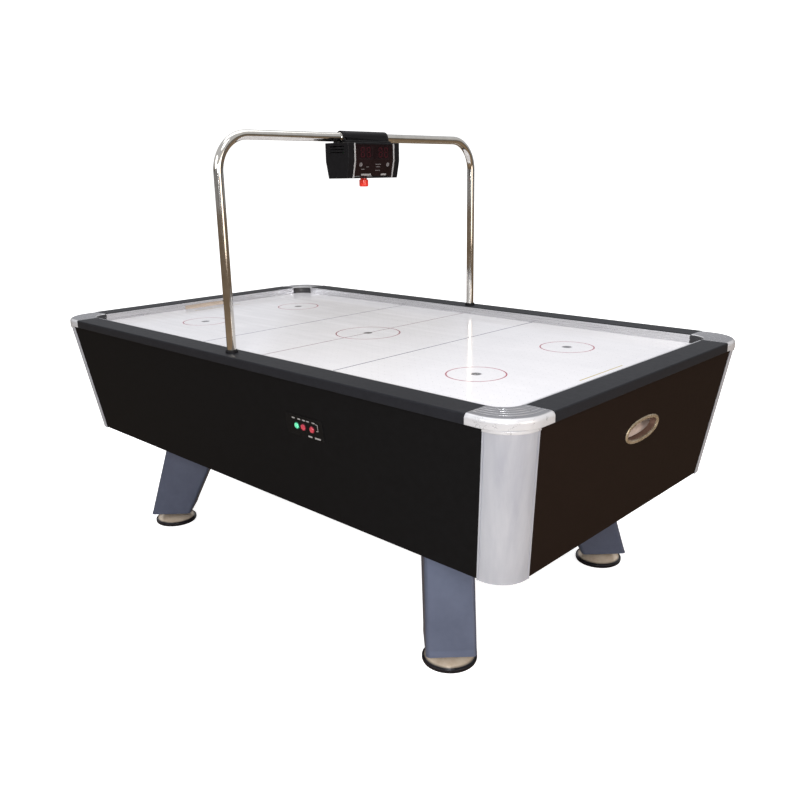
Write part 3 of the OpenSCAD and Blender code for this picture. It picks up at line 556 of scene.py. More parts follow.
looks = {
    "laminateBlack": {
        "dark": (0.0050, 0.0049, 0.0052), "light": (0.0068, 0.0066, 0.0070), "rough": (0.46, 0.54),
        "mottle": 55,
        "grain": 900, "bump": 0.2, "wear": 0.35, "wearTone": (0.06, 0.045, 0.036),
        "shader": {"Specular IOR Level": 0.03},
    },
    # painted warm light: the end panels are the same black laminate as the sides, tinted brown for the warm
    # light falling on the ends
    "laminateEndPaintedWarmLight": {
        "dark": (0.0102, 0.0060, 0.0045), "light": (0.0138, 0.0082, 0.0062), "rough": (0.46, 0.54),
        "mottle": 55,
        "grain": 900, "bump": 0.2, "wear": 0.35, "wearTone": (0.07, 0.045, 0.032),
        "shader": {"Specular IOR Level": 0.03},
    },
    "postSilver": {
        "dark": (0.325, 0.335, 0.378), "light": (0.420, 0.428, 0.462), "rough": (0.34, 0.40),
        "stretch": (24, 24, 0.5),
        "grain": 1500, "bumpStretch": (900, 900, 12), "bump": 0.05,
        "shader": {"Metallic": 0.22},
    },
    # capSilver's top tone is painted shade on faces turned up, so the sides read brighter
    "capSilver": {
        "dark": (0.50, 0.50, 0.52), "light": (0.56, 0.56, 0.58), "rough": (0.26, 0.32), "mottle": 45,
        "grain": 1300, "bumpStretch": (650, 650, 650), "bump": 0.03, "top": (0.165, 0.165, 0.180),
        "shader": {"Metallic": 0.30, "Coat Weight": 0.3, "Coat Roughness": 0.16},
    },
    "railBlack": {
        "dark": (0.0112, 0.0118, 0.0148), "light": (0.0148, 0.0154, 0.0188), "rough": (0.42, 0.50),
        "mottle": 60,
        "grain": 1000, "bump": 0.2, "wear": 0.35, "wearTone": (0.08, 0.08, 0.085),
        "shader": {"Specular IOR Level": 0.10},
    },
    "bumperPale": {
        "dark": (0.52, 0.52, 0.54), "light": (0.66, 0.66, 0.68), "rough": (0.22, 0.36),
        "stretch": (4, 4, 700),
        "grain": 1500, "bump": 0.08, "wear": 0.3, "wearTone": (0.3, 0.3, 0.3), "shader": {"Metallic": 0.8},
    },
    "bumperDark": {
        "dark": (0.016, 0.016, 0.018), "light": (0.028, 0.028, 0.032), "rough": (0.38, 0.5), "mottle": 25,
        "grain": 1200, "bump": 0.25, "wear": 0.4, "wearTone": (0.15, 0.15, 0.15),
    },
    "boardRaw": {
        "dark": (0.30, 0.20, 0.10), "light": (0.46, 0.33, 0.19), "rough": (0.65, 0.85), "mottle": 160,
        "grain": 500, "bump": 0.6, "depth": 0.4 * mm,
    },
    "boardDark": {
        "dark": (0.030, 0.025, 0.021), "light": (0.055, 0.046, 0.040), "rough": (0.55, 0.75), "mottle": 60,
        "grain": 500, "bump": 0.5, "depth": 0.3 * mm,
    },
    "chuteMoulded": {
        "dark": (0.66, 0.51, 0.44), "light": (0.78, 0.64, 0.56), "rough": (0.35, 0.5), "mottle": 30,
        "grain": 900, "bump": 0.2, "wear": 0.3, "wearTone": (0.45, 0.32, 0.24), "dust": 0.1,
    },
    "rimChampagne": {
        "dark": (0.33, 0.26, 0.17), "light": (0.58, 0.50, 0.38), "rough": (0.22, 0.32), "mottle": 40,
        "grain": 1500, "bumpStretch": (650, 650, 650), "bump": 0.04, "shader": {"Metallic": 0.75},
    },
    "blowerBlack": {
        "dark": (0.016, 0.016, 0.018), "light": (0.030, 0.030, 0.034), "rough": (0.45, 0.6), "mottle": 20,
        "grain": 700, "bump": 0.4, "wear": 0.4, "wearTone": (0.12, 0.12, 0.12), "dust": 0.25,
    },
    "wheelGrey": {
        "dark": (0.22, 0.23, 0.25), "light": (0.32, 0.33, 0.35), "rough": (0.4, 0.55), "mottle": 40,
        "grain": 900, "bump": 0.25, "dust": 0.3,
    },
    "motorGrey": {
        "dark": (0.09, 0.10, 0.11), "light": (0.14, 0.15, 0.16), "rough": (0.35, 0.5), "mottle": 30,
        "grain": 800, "bump": 0.35, "wear": 0.5, "wearTone": (0.35, 0.35, 0.36), "dust": 0.2,
    },
    "boxSteel": {
        "dark": (0.24, 0.25, 0.27), "light": (0.32, 0.33, 0.35), "rough": (0.35, 0.5), "mottle": 18,
        "grain": 1000, "bump": 0.3, "wear": 0.5, "wearTone": (0.5, 0.5, 0.52), "dust": 0.2,
        "shader": {"Metallic": 0.4},
    },
    "plateBlack": {
        "dark": (0.0050, 0.0048, 0.0050), "light": (0.0072, 0.0070, 0.0072), "rough": (0.38, 0.48),
        "mottle": 60,
        "grain": 1400, "bump": 0.15, "wear": 0.3, "wearTone": (0.05, 0.05, 0.05),
        "shader": {"Specular IOR Level": 0.04},
    },
    "legendPale": {
        "dark": (0.20, 0.19, 0.19), "light": (0.32, 0.31, 0.30), "rough": (0.4, 0.55), "mottle": 300,
        "grain": 1500, "bump": 0.1,
    },
    "legSilverBlue": {
        "dark": (0.088, 0.104, 0.158), "light": (0.108, 0.127, 0.190), "rough": (0.32, 0.40), "mottle": 11,
        "grain": 1300, "bump": 0.12, "wear": 0.5, "wearTone": (0.32, 0.34, 0.40),
        "shader": {"Metallic": 0.45},
    },
    "rubberDark": {
        "dark": (0.018, 0.016, 0.015), "light": (0.032, 0.029, 0.027), "rough": (0.6, 0.8), "mottle": 60,
        "grain": 800, "bump": 0.4,
    },
    "chrome": {
        "dark": (0.58, 0.56, 0.52), "light": (0.72, 0.70, 0.66), "rough": (0.06, 0.12), "mottle": 35,
        "grain": 300, "bumpStretch": (45, 45, 45), "bump": 0.02, "shader": {"Metallic": 1.0},
    },
    # painted reflection: the feet's tan stands in for the warm room mirrored in their chrome; the band below
    # footHigh is darker towards the bottom
    "chromeTanPaintedReflection": {
        "dark": (0.60, 0.48, 0.36), "light": (0.84, 0.73, 0.60), "rough": (0.16, 0.28), "mottle": 22,
        "grain": 300, "bump": 0.02, "foot": (0.012, 0.011, 0.015), "footHigh": (13.0, 17.5),
        "shader": {"Metallic": 0.35},
    },
    "markGrey": {
        "dark": (0.10, 0.09, 0.09), "light": (0.17, 0.155, 0.155), "rough": (0.3, 0.45), "mottle": 150,
        "grain": 1200, "bump": 0.15,
    },
    # painted light: the emission makes the lining glow tan where the pocket lies in shade
    "goalPalePaintedGlow": {
        "dark": (0.62, 0.50, 0.42), "light": (0.74, 0.62, 0.53), "rough": (0.4, 0.55), "mottle": 60,
        "grain": 900, "bump": 0.1,
        "shader": {"Emission Color": (0.55, 0.46, 0.38, 1), "Emission Strength": 0.55},
    },
    # painted shade: the return sleeve's dark brown stands for the shaded walls inside the opening
    "sleevePaintedShadeBrown": {
        "dark": (0.085, 0.045, 0.032), "light": (0.16, 0.088, 0.062), "rough": (0.4, 0.55), "mottle": 60,
        "grain": 900, "bump": 0.2, "wear": 0.3, "wearTone": (0.25, 0.17, 0.12),
    },
    "bezelGreen": {
        "dark": (0.003, 0.030, 0.017), "light": (0.006, 0.060, 0.034), "rough": (0.22, 0.34), "mottle": 120,
        "grain": 1300, "bump": 0.1, "shader": {"Specular IOR Level": 0.3},
    },
    "bezelRed": {
        "dark": (0.040, 0.004, 0.009), "light": (0.080, 0.008, 0.017), "rough": (0.22, 0.34), "mottle": 120,
        "grain": 1300, "bump": 0.1, "shader": {"Specular IOR Level": 0.3},
    },
    "boltSteel": {
        "dark": (0.36, 0.36, 0.37), "light": (0.52, 0.52, 0.53), "rough": (0.28, 0.42), "mottle": 200,
        "grain": 1500, "bump": 0.2, "wear": 0.4, "wearTone": (0.7, 0.7, 0.7), "shader": {"Metallic": 0.95},
    },
    "scorerBlack": {
        "dark": (0.0048, 0.0046, 0.0055), "light": (0.0080, 0.0076, 0.0088), "rough": (0.36, 0.46),
        "mottle": 60,
        "grain": 900, "bump": 0.25, "wear": 0.35, "wearTone": (0.07, 0.07, 0.07),
        "shader": {"Specular IOR Level": 0.12},
    },
    "scorerSmoked": {
        "dark": (0.0060, 0.0030, 0.0034), "light": (0.0120, 0.0050, 0.0060), "rough": (0.10, 0.20),
        "mottle": 28,
        "grain": 300, "bump": 0.02, "shader": {"Specular IOR Level": 0.25},
    },
    "stripSilver": {
        "dark": (0.42, 0.42, 0.43), "light": (0.58, 0.58, 0.59), "rough": (0.28, 0.4), "mottle": 90,
        "grain": 1500, "bump": 0.1, "shader": {"Metallic": 0.5},
    },
    "digitRed": {
        "dark": (0.022, 0.003, 0.005), "light": (0.045, 0.005, 0.009), "rough": (0.2, 0.35), "mottle": 120,
        "grain": 1200, "bump": 0.1, "shader": {"Specular IOR Level": 0.2},
    },
    "circuitBoard": {
        "dark": (0.012, 0.06, 0.02), "light": (0.03, 0.12, 0.05), "rough": (0.3, 0.45), "mottle": 250,
        "grain": 1200, "bump": 0.3,
    },
}
surfaces = {name: makeSurface(name, look) for name, look in looks.items()}


def makeLens(name, deep, lit, glow):
    # lit button: a tone that drifts by noise, with a fine swirl
    material, tree, shader, place = startMaterial(
        name, {
            "Emission Strength": glow, "Coat Weight": 0.5, "Coat Roughness": 0.08,
            "Subsurface Weight": 0.1
        }
    )
    tone = useEffect(tree, "mottle", (-1000, 200), place, Scale=160, Detail=3)
    colour = mixColours(tree, tone, deep, lit, (-600, 300))
    tree.links.new(colour, shader.inputs["Base Color"])
    tree.links.new(colour, shader.inputs["Emission Color"])
    tree.links.new(rangeNode(tree, tone, 0, 1, 0.18, 0.3, (-600, 0)), shader.inputs["Roughness"])
    addBump(tree, shader, useEffect(tree, "grain", (-1000, -400), place, Scale=1400), 0.08, 0.1 * mm)
    return material


lensGreen = makeLens("lensGreen", (0.02, 0.30, 0.14), (0.14, 0.70, 0.42), 0.50)
lensRed = makeLens("lensRed", (0.22, 0.012, 0.024), (0.50, 0.045, 0.075), 0.30)
resetRed = makeLens("resetRed", (0.62, 0.018, 0.008), (0.82, 0.04, 0.016), 0.12)


field = {
    "centreRing": 111 * mm,
    "faceOffRing": 83 * mm,
    "faceOffX": 659 * mm,
    "faceOffY": 229 * mm,
    "ringLine": 4.5 * mm,
    "dot": 15 * mm,
    "zoneX": 326 * mm,
    "zoneLine": 5 * mm,
    "goldX": 913 * mm,
    "goldHalf": 113 * mm,
    "goldLine": 5 * mm,
    "holePitch": 25.4 * mm,
    "holeRadius": 0.6 * mm,
}


def makeFieldMaterial():
    # glossy white sheet: printed rings and lines, air holes and the fine smears of play
    material, tree, shader, place = startMaterial(
        "playfieldWhite", {"Coat Weight": 0.35, "Coat Roughness": 0.06}
    )
    parts = addNode(tree, "ShaderNodeSeparateXYZ", (-1300, 600))
    tree.links.new(place, parts.inputs[0])
    x = mathNode(tree, "ABSOLUTE", (-1150, 650), parts.outputs["X"])
    y = mathNode(tree, "ABSOLUTE", (-1150, 550), parts.outputs["Y"])

    def far(distance, width):
        # 1 within half the width of the line, 0 beyond it
        return rangeNode(tree, distance, width * 0.4, width * 0.6, 1, 0)

    def fromPoint(atX, atY):
        awayX = mathNode(tree, "SUBTRACT", (-950, 700), x, atX)
        awayY = mathNode(tree, "SUBTRACT", (-950, 600), y, atY)
        squares = mathNode(
            tree, "ADD", (-750, 650),
            mathNode(tree, "MULTIPLY", (-850, 700), awayX, awayX),
            mathNode(tree, "MULTIPLY", (-850, 600), awayY, awayY),
        )
        return mathNode(tree, "SQRT", (-650, 650), squares)

    def ring(distance, radius, width):
        off = mathNode(
            tree, "ABSOLUTE", (-450, 650), mathNode(tree, "SUBTRACT", (-550, 650), distance, radius)
        )
        return far(off, width)

    def line(along, at, width):
        return far(
            mathNode(tree, "ABSOLUTE", (-450, 500), mathNode(tree, "SUBTRACT", (-550, 500), along, at)),
            width
        )

    smear = useEffect(tree, "streaks", (-1100, -100), place, Stretch=(2.2, 30, 1))
    mottle = useEffect(tree, "mottle", (-1100, -300), place, Scale=6, Detail=4)
    colour = mixColours(tree, mottle, (0.74, 0.73, 0.76), (0.80, 0.79, 0.815), (-300, 400))
    centre = fromPoint(0, 0)
    faceOff = fromPoint(field["faceOffX"], field["faceOffY"])
    goldEnds = rangeNode(tree, y, field["goldHalf"], field["goldHalf"] + mm, 1, 0)
    gold = mathNode(tree, "MULTIPLY", (-200, 700), line(x, field["goldX"], field["goldLine"]), goldEnds)
    marks = [
        (line(x, field["zoneX"], field["zoneLine"]), (0.10, 0.11, 0.17)),
        (line(x, 0, field["zoneLine"]), (0.26, 0.18, 0.20)),
        (gold, (0.50, 0.40, 0.16)),
        (ring(centre, field["centreRing"], field["ringLine"]), (0.30, 0.055, 0.085)),
        (ring(faceOff, field["faceOffRing"], field["ringLine"]), (0.36, 0.045, 0.075)),
        (far(centre, 2 * field["dot"]), (0.06, 0.055, 0.06)),
        (far(faceOff, 2 * field["dot"]), (0.05, 0.045, 0.05)),
    ]
    for mask, tone in marks:
        colour = mixColours(tree, mask, colour, tone, (0, 400))
    # grid of air holes
    cell = []
    for index, axis in enumerate((parts.outputs["X"], parts.outputs["Y"])):
        cells = mathNode(tree, "DIVIDE", (-1150, -600), axis, field["holePitch"])
        inCell = mathNode(tree, "SUBTRACT", (-950, -600), mathNode(tree, "FRACT", (-1050, -600), cells), 0.5)
        cell.append(mathNode(tree, "MULTIPLY", (-850, -600), inCell, inCell))
    fromHole = mathNode(tree, "SQRT", (-650, -600), mathNode(tree, "ADD", (-750, -600), *cell))
    holeShare = field["holeRadius"] / field["holePitch"]
    hole = rangeNode(tree, fromHole, holeShare, 1.6 * holeShare, 1, 0, (-500, -600))
    colour = mixColours(tree, hole, colour, (0.05, 0.05, 0.05), (150, 400))
    tree.links.new(colour, shader.inputs["Base Color"])
    tree.links.new(rangeNode(tree, smear, 0, 1, 0.10, 0.24), shader.inputs["Roughness"])
    dips = mathNode(
        tree, "SUBTRACT", (-400, -700), mathNode(tree, "MULTIPLY", (-500, -760), mottle, 0.3), hole
    )
    addBump(tree, shader, dips, 0.15, 0.3 * mm)
    return material


surfaces["playfieldWhite"] = makeFieldMaterial()
print("materials:", len(bpy.data.materials))


# corner posts: a bent extrusion with a bead along each edge and a trim line near its foot

post = {
    "arm": 89.5 * mm,
    "radius": 78 * mm,
    "wall": 4 * mm,
    "bead": 4.5 * mm,
    "beadProud": 0.9 * mm,
    "groove": 1.6 * mm,
    "trimUp": 6 * mm,
    "trimWidth": 1.6 * mm,
    "steps": 20,
}


def makePost(name):
    splay = math.atan(math.sqrt(2) * math.tan(lean))
    halfCorner = math.atan(1 / math.cos(splay))
    foot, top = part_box("corner_post_front_right")[0].z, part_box("corner_post_front_right")[1].z
    radius = post["radius"]
    tangent = radius / math.tan(halfCorner)
    arm = post["arm"] * math.sqrt(1 - math.sin(splay) ** 2 / 2)
    # drawn in the plane across the corner's own line, X outwards
    away = Vector((-math.cos(halfCorner), math.sin(halfCorner), 0))
    side = Vector((math.sin(halfCorner), math.cos(halfCorner), 0))
    beadStart = away * (arm - post["bead"])
    outline = [
        away * arm,
        away * arm + side * post["beadProud"],
        beadStart + side * post["beadProud"],
        beadStart - side * post["beadProud"],
        beadStart - away * post["groove"] - side * post["beadProud"],
        beadStart - away * post["groove"] * 1.4,
        away * tangent,
    ]
    piece = startPath(name, outline[0])
    drawOn(outline[0], outline[1:])
    bend = math.pi - 2 * halfCorner
    bpy.ops.mesh.spin(
        steps=post["steps"], angle=bend, center=(-radius / math.sin(halfCorner), 0, 0), axis=(0, 0, 1)
    )
    last = Vector((away.x * tangent, -away.y * tangent, 0))
    drawOn(last, [Vector((p.x, -p.y, 0)) for p in reversed(outline[:-1])])
    bpy.ops.mesh.select_all(action="SELECT")
    bpy.ops.mesh.remove_doubles(threshold=fine)
    height = top - foot
    bpy.ops.transform.translate(value=(0, 0, -height))
    bpy.ops.mesh.extrude_region_move(TRANSFORM_OT_translate={"value": (0, 0, 3 * height)})
    bpy.ops.object.mode_set(mode="OBJECT")
    corner = Vector((wallX(cabinetZ), -wallY(cabinetZ), cabinetZ))
    turn = Matrix.Rotation(math.radians(-45), 4, "Z") @ Matrix.Rotation(splay, 4, "Y")
    placeWith(piece, Matrix.Translation(corner) @ turn)
    # trimmed level at top and bottom, with two cuts more for the trim line
    makeActive(piece)
    bpy.ops.object.mode_set(mode="EDIT")
    bpy.ops.mesh.select_all(action="SELECT")
    bpy.ops.mesh.bisect(plane_co=(0, 0, top), plane_no=(0, 0, 1), clear_outer=True)
    bpy.ops.mesh.select_all(action="SELECT")
    bpy.ops.mesh.bisect(plane_co=(0, 0, foot), plane_no=(0, 0, 1), clear_inner=True)
    for up in (post["trimUp"], post["trimUp"] + post["trimWidth"]):
        bpy.ops.mesh.select_all(action="SELECT")
        bpy.ops.mesh.bisect(plane_co=(0, 0, foot + up), plane_no=(0, 0, 1))
    bpy.ops.mesh.select_all(action="SELECT")
    bpy.ops.mesh.normals_make_consistent(inside=False)
    bpy.ops.object.mode_set(mode="OBJECT")
    middle = middleOf("corner_post_front_right")
    outwards = sum(((f.center - middle).dot(f.normal)) for f in piece.data.polygons if f.area > 1e-4)
    if outwards < 0:
        bpy.ops.object.mode_set(mode="EDIT")
        bpy.ops.mesh.flip_normals()
        bpy.ops.object.mode_set(mode="OBJECT")
    applyModifier(piece, "SOLIDIFY", thickness=post["wall"], offset=-1)
    # the trim line is a shallow groove pushed in
    lineLow, lineHigh = foot + post["trimUp"], foot + post["trimUp"] + post["trimWidth"]
    pickFaces(piece, lambda place, normal: lineLow < place.z < lineHigh and normal.dot(place - middle) > 0)
    bpy.ops.transform.shrink_fatten(value=-0.7 * mm)
    bpy.ops.object.mode_set(mode="OBJECT")
    roundEdges(piece, 0.5 * mm, 2, 40)
    return piece


# corner caps and the dark curved bumpers inside them

def cornerPath(depth, radius, reach, steps):
    # from the front edge round to the right edge, at one depth in from the table's outline
    points = [Vector((halfLength - reach, -halfWidth + depth, 0))]
    centre = Vector((halfLength - depth - radius, -halfWidth + depth + radius, 0))
    for step in range(steps + 1):
        turn = math.pi / 2 * step / steps
        points.append(centre + Vector((math.sin(turn), -math.cos(turn), 0)) * radius)
    points.append(Vector((halfLength - depth, -halfWidth + reach, 0)))
    return points


def loftCorner(name, outer, inner, outline, low):
    # the outline is a closed list of share across, offset outwards and height above low
    rows, stations = len(outline), len(outer)
    clearSelection()
    bpy.ops.mesh.primitive_grid_add(x_subdivisions=rows, y_subdivisions=stations - 1, size=1)
    piece = settle(name)
    for vertex in piece.data.vertices:
        row = round((vertex.co.x + 0.5) * rows) % rows
        station = round((vertex.co.y + 0.5) * (stations - 1))
        share, offset, height = outline[row]
        across = inner[station] - outer[station]
        vertex.co = outer[station] + across * share + across.normalized() * offset
        vertex.co.z = low + height
    mendSurface(piece)
    pickEdges(piece, lambda a, b: False)
    bpy.ops.mesh.select_non_manifold(extend=False, use_wire=False, use_multi_face=False,
        use_non_contiguous=False,
                                     use_verts=False)
    bpy.ops.mesh.edge_face_add()
    bpy.ops.object.mode_set(mode="OBJECT")
    mendSurface(piece)
    return piece


cap = {
    "soft": 12 * mm,
    "softSteps": 6,
    "innerSoft": 2 * mm,
    "grooves": (0.30, 0.47, 0.64, 0.80),
    "grooveWidth": 1.4 * mm,
    "grooveDepth": 0.9 * mm,
    "radius": 105 * mm,
    "steps": 24,
    "lipProud": 2.4 * mm,
    "lipHigh": 7.5 * mm,
}
capSize = sizeOf("corner_cap_front_right")
railWidth = sizeOf("rail_front").y
fieldRadius = 63 * mm
bumperDeep = sizeOf("bumper_front").y
bumperHigh = sizeOf("corner_bumpers").z


def makeCap(name):
    thick = capSize.z
    outer = cornerPath(0, cap["radius"], capSize.x, cap["steps"])
    inner = cornerPath(railWidth, fieldRadius - 2 * mm, capSize.x, cap["steps"])
    soft = cap["soft"]
    outline = [(0, 1.2 * mm, 0), (0, 0, 1.2 * mm)]
    for step in range(cap["softSteps"] + 1):
        turn = math.pi / 2 * step / cap["softSteps"]
        outline.append((0, soft * (1 - math.cos(turn)), thick - soft + soft * math.sin(turn)))
    for share in cap["grooves"]:
        half = cap["grooveWidth"] / 2
        outline += [
            (share, -half, thick),
            (share, -half / 2, thick - cap["grooveDepth"]),
            (share, half / 2, thick - cap["grooveDepth"]),
            (share, half, thick),
        ]
    outline += [(1, -cap["innerSoft"], thick), (1, 0, thick - cap["innerSoft"]), (1, 0, 0)]
    piece = loftCorner(name, outer, inner, outline, deckZ)
    pickEdges(piece, lambda a, b: capEnd(a) and capEnd(b))
    bpy.ops.mesh.bevel(offset=0.5 * mm, segments=2)
    bpy.ops.object.mode_set(mode="OBJECT")
    # a second, smaller lip under it follows the post
    proud, high = cap["lipProud"], cap["lipHigh"]
    reach = panelInset + post["arm"]
    outer = cornerPath(panelInset - proud, post["radius"] + 2 * proud, reach, cap["steps"])
    inner = cornerPath(panelInset + 2 * proud, post["radius"] - proud, reach, cap["steps"])
    edge = 0.8 * mm
    outline = [(0, edge, 0), (0, 0, edge), (0, 0, high - edge), (0, edge, high), (1, 0, high), (1, 0, 0)]
    return joinInto(piece, [loftCorner("lip", outer, inner, outline, deckZ - high)])


def capEnd(point):
    # on one of the two cut ends
    return point.x < halfLength - capSize.x + fine or point.y > -halfWidth + capSize.y - fine


def makeCornerBumper(name):
    outer = cornerPath(railWidth + 0.1 * mm, fieldRadius - 0.1 * mm, capSize.x, cap["steps"])
    inner = cornerPath(railWidth + bumperDeep, fieldRadius - bumperDeep, capSize.x, cap["steps"])
    outline = [(0, 0, 0), (0, 0, bumperHigh)]
    for step in range(5):
        turn = math.pi / 2 * step / 4
        outline.append((1, -2.4 * mm * (1 - math.sin(turn)), bumperHigh - 2.4 * mm * (1 - math.cos(turn))))
    outline += [(1, 0, bumperHigh * 0.45), (1, -0.8 * mm, bumperHigh * 0.42),
        (1, -0.8 * mm, bumperHigh * 0.36),
                (1, 0, bumperHigh * 0.33), (1, 0, 0)]
    return loftCorner(name, outer, inner, outline, deckZ)


firstPost = makePost("corner_post")
firstCap = makeCap("corner_cap_shape")
firstBumper = makeCornerBumper("corner_bumper")
for corner, sides in corners.items():
    for first, label, slotName, surface in (
        (firstPost, "corner_post", "post_silver", "postSilver"),
        (firstCap, "corner_cap", "cap_silver", "capSilver"),
        (firstBumper, "corner_bumper", "bumper_dark", "bumperDark"),
    ):
        twin = mirrored(first, f"{label}_shape_{corner}", *sides)
        node = "corner_bumpers" if label == "corner_bumper" else f"{label}_{corner}"
        finishPiece(twin, "table", surfaces[surface], (node,), 30)
for first in (firstPost, firstCap, firstBumper):
    bpy.data.objects.remove(first)
print("corners done")


# legs: a tapering box set on the diagonal, with a flange under the cabinet and a line near each end

foot = {"x": middleOf("foot_front_right").x, "y": middleOf("foot_front_right").y}
leg = {
    "width": 141 * mm,
    "low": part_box("leg_front_right")[0].z,
    "outLow": 76 * mm,
    "outHigh": -21 * mm,
    "inLow": -74 * mm,
    "inHigh": -229 * mm,
    "flange": 5 * mm,
    "lip": 8 * mm,
    "corner": 13 * mm,
    "lineWidth": 1.8 * mm,
    "lineDepth": 0.9 * mm,
    "stemHole": 9 * mm,
}
toFoot = Matrix.Translation((foot["x"], foot["y"], 0)) @ Matrix.Rotation(math.radians(-45), 4, "Z")


def makeLeg(name):
    half = leg["width"] / 2
    top = cabinetZ - leg["flange"]
    piece = addBox(name, (leg["inLow"], -half, leg["low"]), (leg["outLow"], half, top))
    pickFaces(piece, lambda place, normal: normal.z > 0.9)
    shift = (leg["outHigh"] + leg["inHigh"] - leg["outLow"] - leg["inLow"]) / 2
    grow = (leg["outHigh"] - leg["inHigh"]) / (leg["outLow"] - leg["inLow"])
    middle = Vector(((leg["outHigh"] + leg["inHigh"]) / 2, 0, top))
    bpy.ops.transform.translate(value=(shift, 0, 0))
    bpy.ops.transform.resize(value=(grow, 1, 1), center_override=middle)
    bpy.ops.object.mode_set(mode="OBJECT")
    pickEdges(piece, lambda a, b: abs(a.z - b.z) > leg["low"])
    bpy.ops.mesh.bevel(offset=leg["corner"], segments=5, profile=0.5)
    bpy.ops.object.mode_set(mode="OBJECT")
    # two fine lines round the leg
    for height in (leg["low"] + 16 * mm, top - 12 * mm):
        for at in (height, height + leg["lineWidth"]):
            makeActive(piece)
            bpy.ops.object.mode_set(mode="EDIT")
            bpy.ops.mesh.select_all(action="SELECT")
            bpy.ops.mesh.bisect(plane_co=(0, 0, at), plane_no=(0, 0, 1))
            bpy.ops.object.mode_set(mode="OBJECT")
        pickFaces(piece, lambda place, normal: height < place.z < height + leg["lineWidth"])
        bpy.ops.transform.shrink_fatten(value=-leg["lineDepth"])
        bpy.ops.object.mode_set(mode="OBJECT")
    roundEdges(piece, 1.2 * mm, 2, 60)
    flange = addBox(
        name + "_flange", (leg["inHigh"] - leg["lip"], -half - leg["lip"], top),
        (leg["outHigh"] + leg["lip"], half + leg["lip"], cabinetZ),
    )
    pickEdges(flange, lambda a, b: abs(a.z - b.z) > mm)
    bpy.ops.mesh.bevel(offset=leg["corner"], segments=5)
    bpy.ops.object.mode_set(mode="OBJECT")
    roundEdges(flange, 0.8 * mm, 2, 60)
    cutWith(piece, addRod("stem_hole", leg["stemHole"], leg["low"] - mm, leg["low"] + 62 * mm))
    joinInto(piece, [flange])
    placeWith(piece, toFoot)
    return piece


# levelling feet: domed pad, rubber ring, hex lock nut and threaded stem

footShape = {
    "radius": 77.5 * mm,
    "rim": 12 * mm,
    "dome": 24 * mm,
    "pad": 2.4 * mm,
    "nut": 16 * mm,
    "nutTop": 49.7 * mm,
    "stem": 8 * mm,
    "thread": 0.9 * mm,
    "pitch": 3 * mm,
    "stemTop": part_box("foot_front_right")[1].z,
}


def makeFootPad(name):
    radius, rim = footShape["radius"], footShape["rim"]
    domeR = radius - 3.5 * mm
    ball = (domeR**2 + footShape["dome"] ** 2) / (2 * footShape["dome"])
    outline = [(0, footShape["pad"]), (radius - 2 * mm, footShape["pad"])]
    for step in range(5):
        turn = math.pi / 2 * step / 4
        outline.append(
            (radius - 2 * mm + 2 * mm * math.sin(turn), footShape["pad"] + 2 * mm * (1 - math.cos(turn)))
        )
    for step in range(5):
        turn = math.pi / 2 * step / 4
        outline.append((radius - 2 * mm + 2 * mm * math.cos(turn), rim - 2 * mm + 2 * mm * math.sin(turn)))
    outline += [
        (domeR + 0.6 * mm, rim - 0.2 * mm), (domeR - 0.2 * mm, rim - 0.8 * mm),
        (domeR - 1.4 * mm, rim + 0.2 * mm)
    ]
    domeSteps = 10
    collar = 24 * mm
    for step in range(1, domeSteps + 1):
        r = domeR - 1.4 * mm - (domeR - 1.4 * mm - collar) * step / domeSteps
        outline.append((r, rim + footShape["dome"] - ball + math.sqrt(ball**2 - r**2)))
    top = outline[-1][1]
    outline += [(collar - 0.6 * mm, top + 1.6 * mm), (collar - 2 * mm, top + 2.2 * mm), (0, top + 2.2 * mm)]
    return turnOutline(name, outline, steps=64)


def makeNut(name, radius, low, high, hole):
    piece = addRod(name, radius, low, high, sides=6)
    rounder = turnOutline(
        "nut_rounder",
        [(0, low - mm), (radius * 0.9, low - mm), (radius * 0.9, low), (radius * 1.02, low + 2 * mm),
         (radius * 1.02, high - 2 * mm), (radius * 0.9, high), (radius * 0.9, high + mm), (0, high + mm)],
        steps=48,
    )
    applyModifier(piece, "BOOLEAN", operation="INTERSECT", solver="EXACT", object=rounder)
    bpy.data.objects.remove(rounder)
    cutWith(piece, addRod("nut_hole", hole, low - mm, high + mm))
    return piece


def makeStem(name, radius, low, high):
    outline = [(0, low), (radius - footShape["thread"], low)]
    turns = int((high - low - 3 * mm) / footShape["pitch"])
    for turn in range(turns):
        z = low + mm + turn * footShape["pitch"]
        outline += [(radius - footShape["thread"], z), (radius, z + footShape["pitch"] / 2)]
    outline += [(radius - footShape["thread"], high - 1.5 * mm), (radius - 2 * mm, high), (0, high)]
    return turnOutline(name, outline, steps=24)


def makeFoot(name):
    pad = makeFootPad(name)
    nut = makeNut("lock_nut", footShape["nut"], 35 * mm, footShape["nutTop"], footShape["stem"] - 0.5 * mm)
    stem = makeStem("stem", footShape["stem"], 34 * mm, footShape["stemTop"])
    joinInto(pad, [nut, stem])
    placeWith(pad, toFoot)
    return pad


def makeFootRing(name):
    r = footShape["radius"] - 1.5 * mm
    high = footShape["pad"]
    piece = turnOutline(
        name,
        [
            (0, 0.6 * mm), (r - 12 * mm, 0.6 * mm), (r - 11 * mm, 0), (r - 0.6 * mm, 0), (r, 0.6 * mm),
            (r, high), (0, high)
        ],
        steps=64,
    )
    placeWith(piece, toFoot)
    return piece


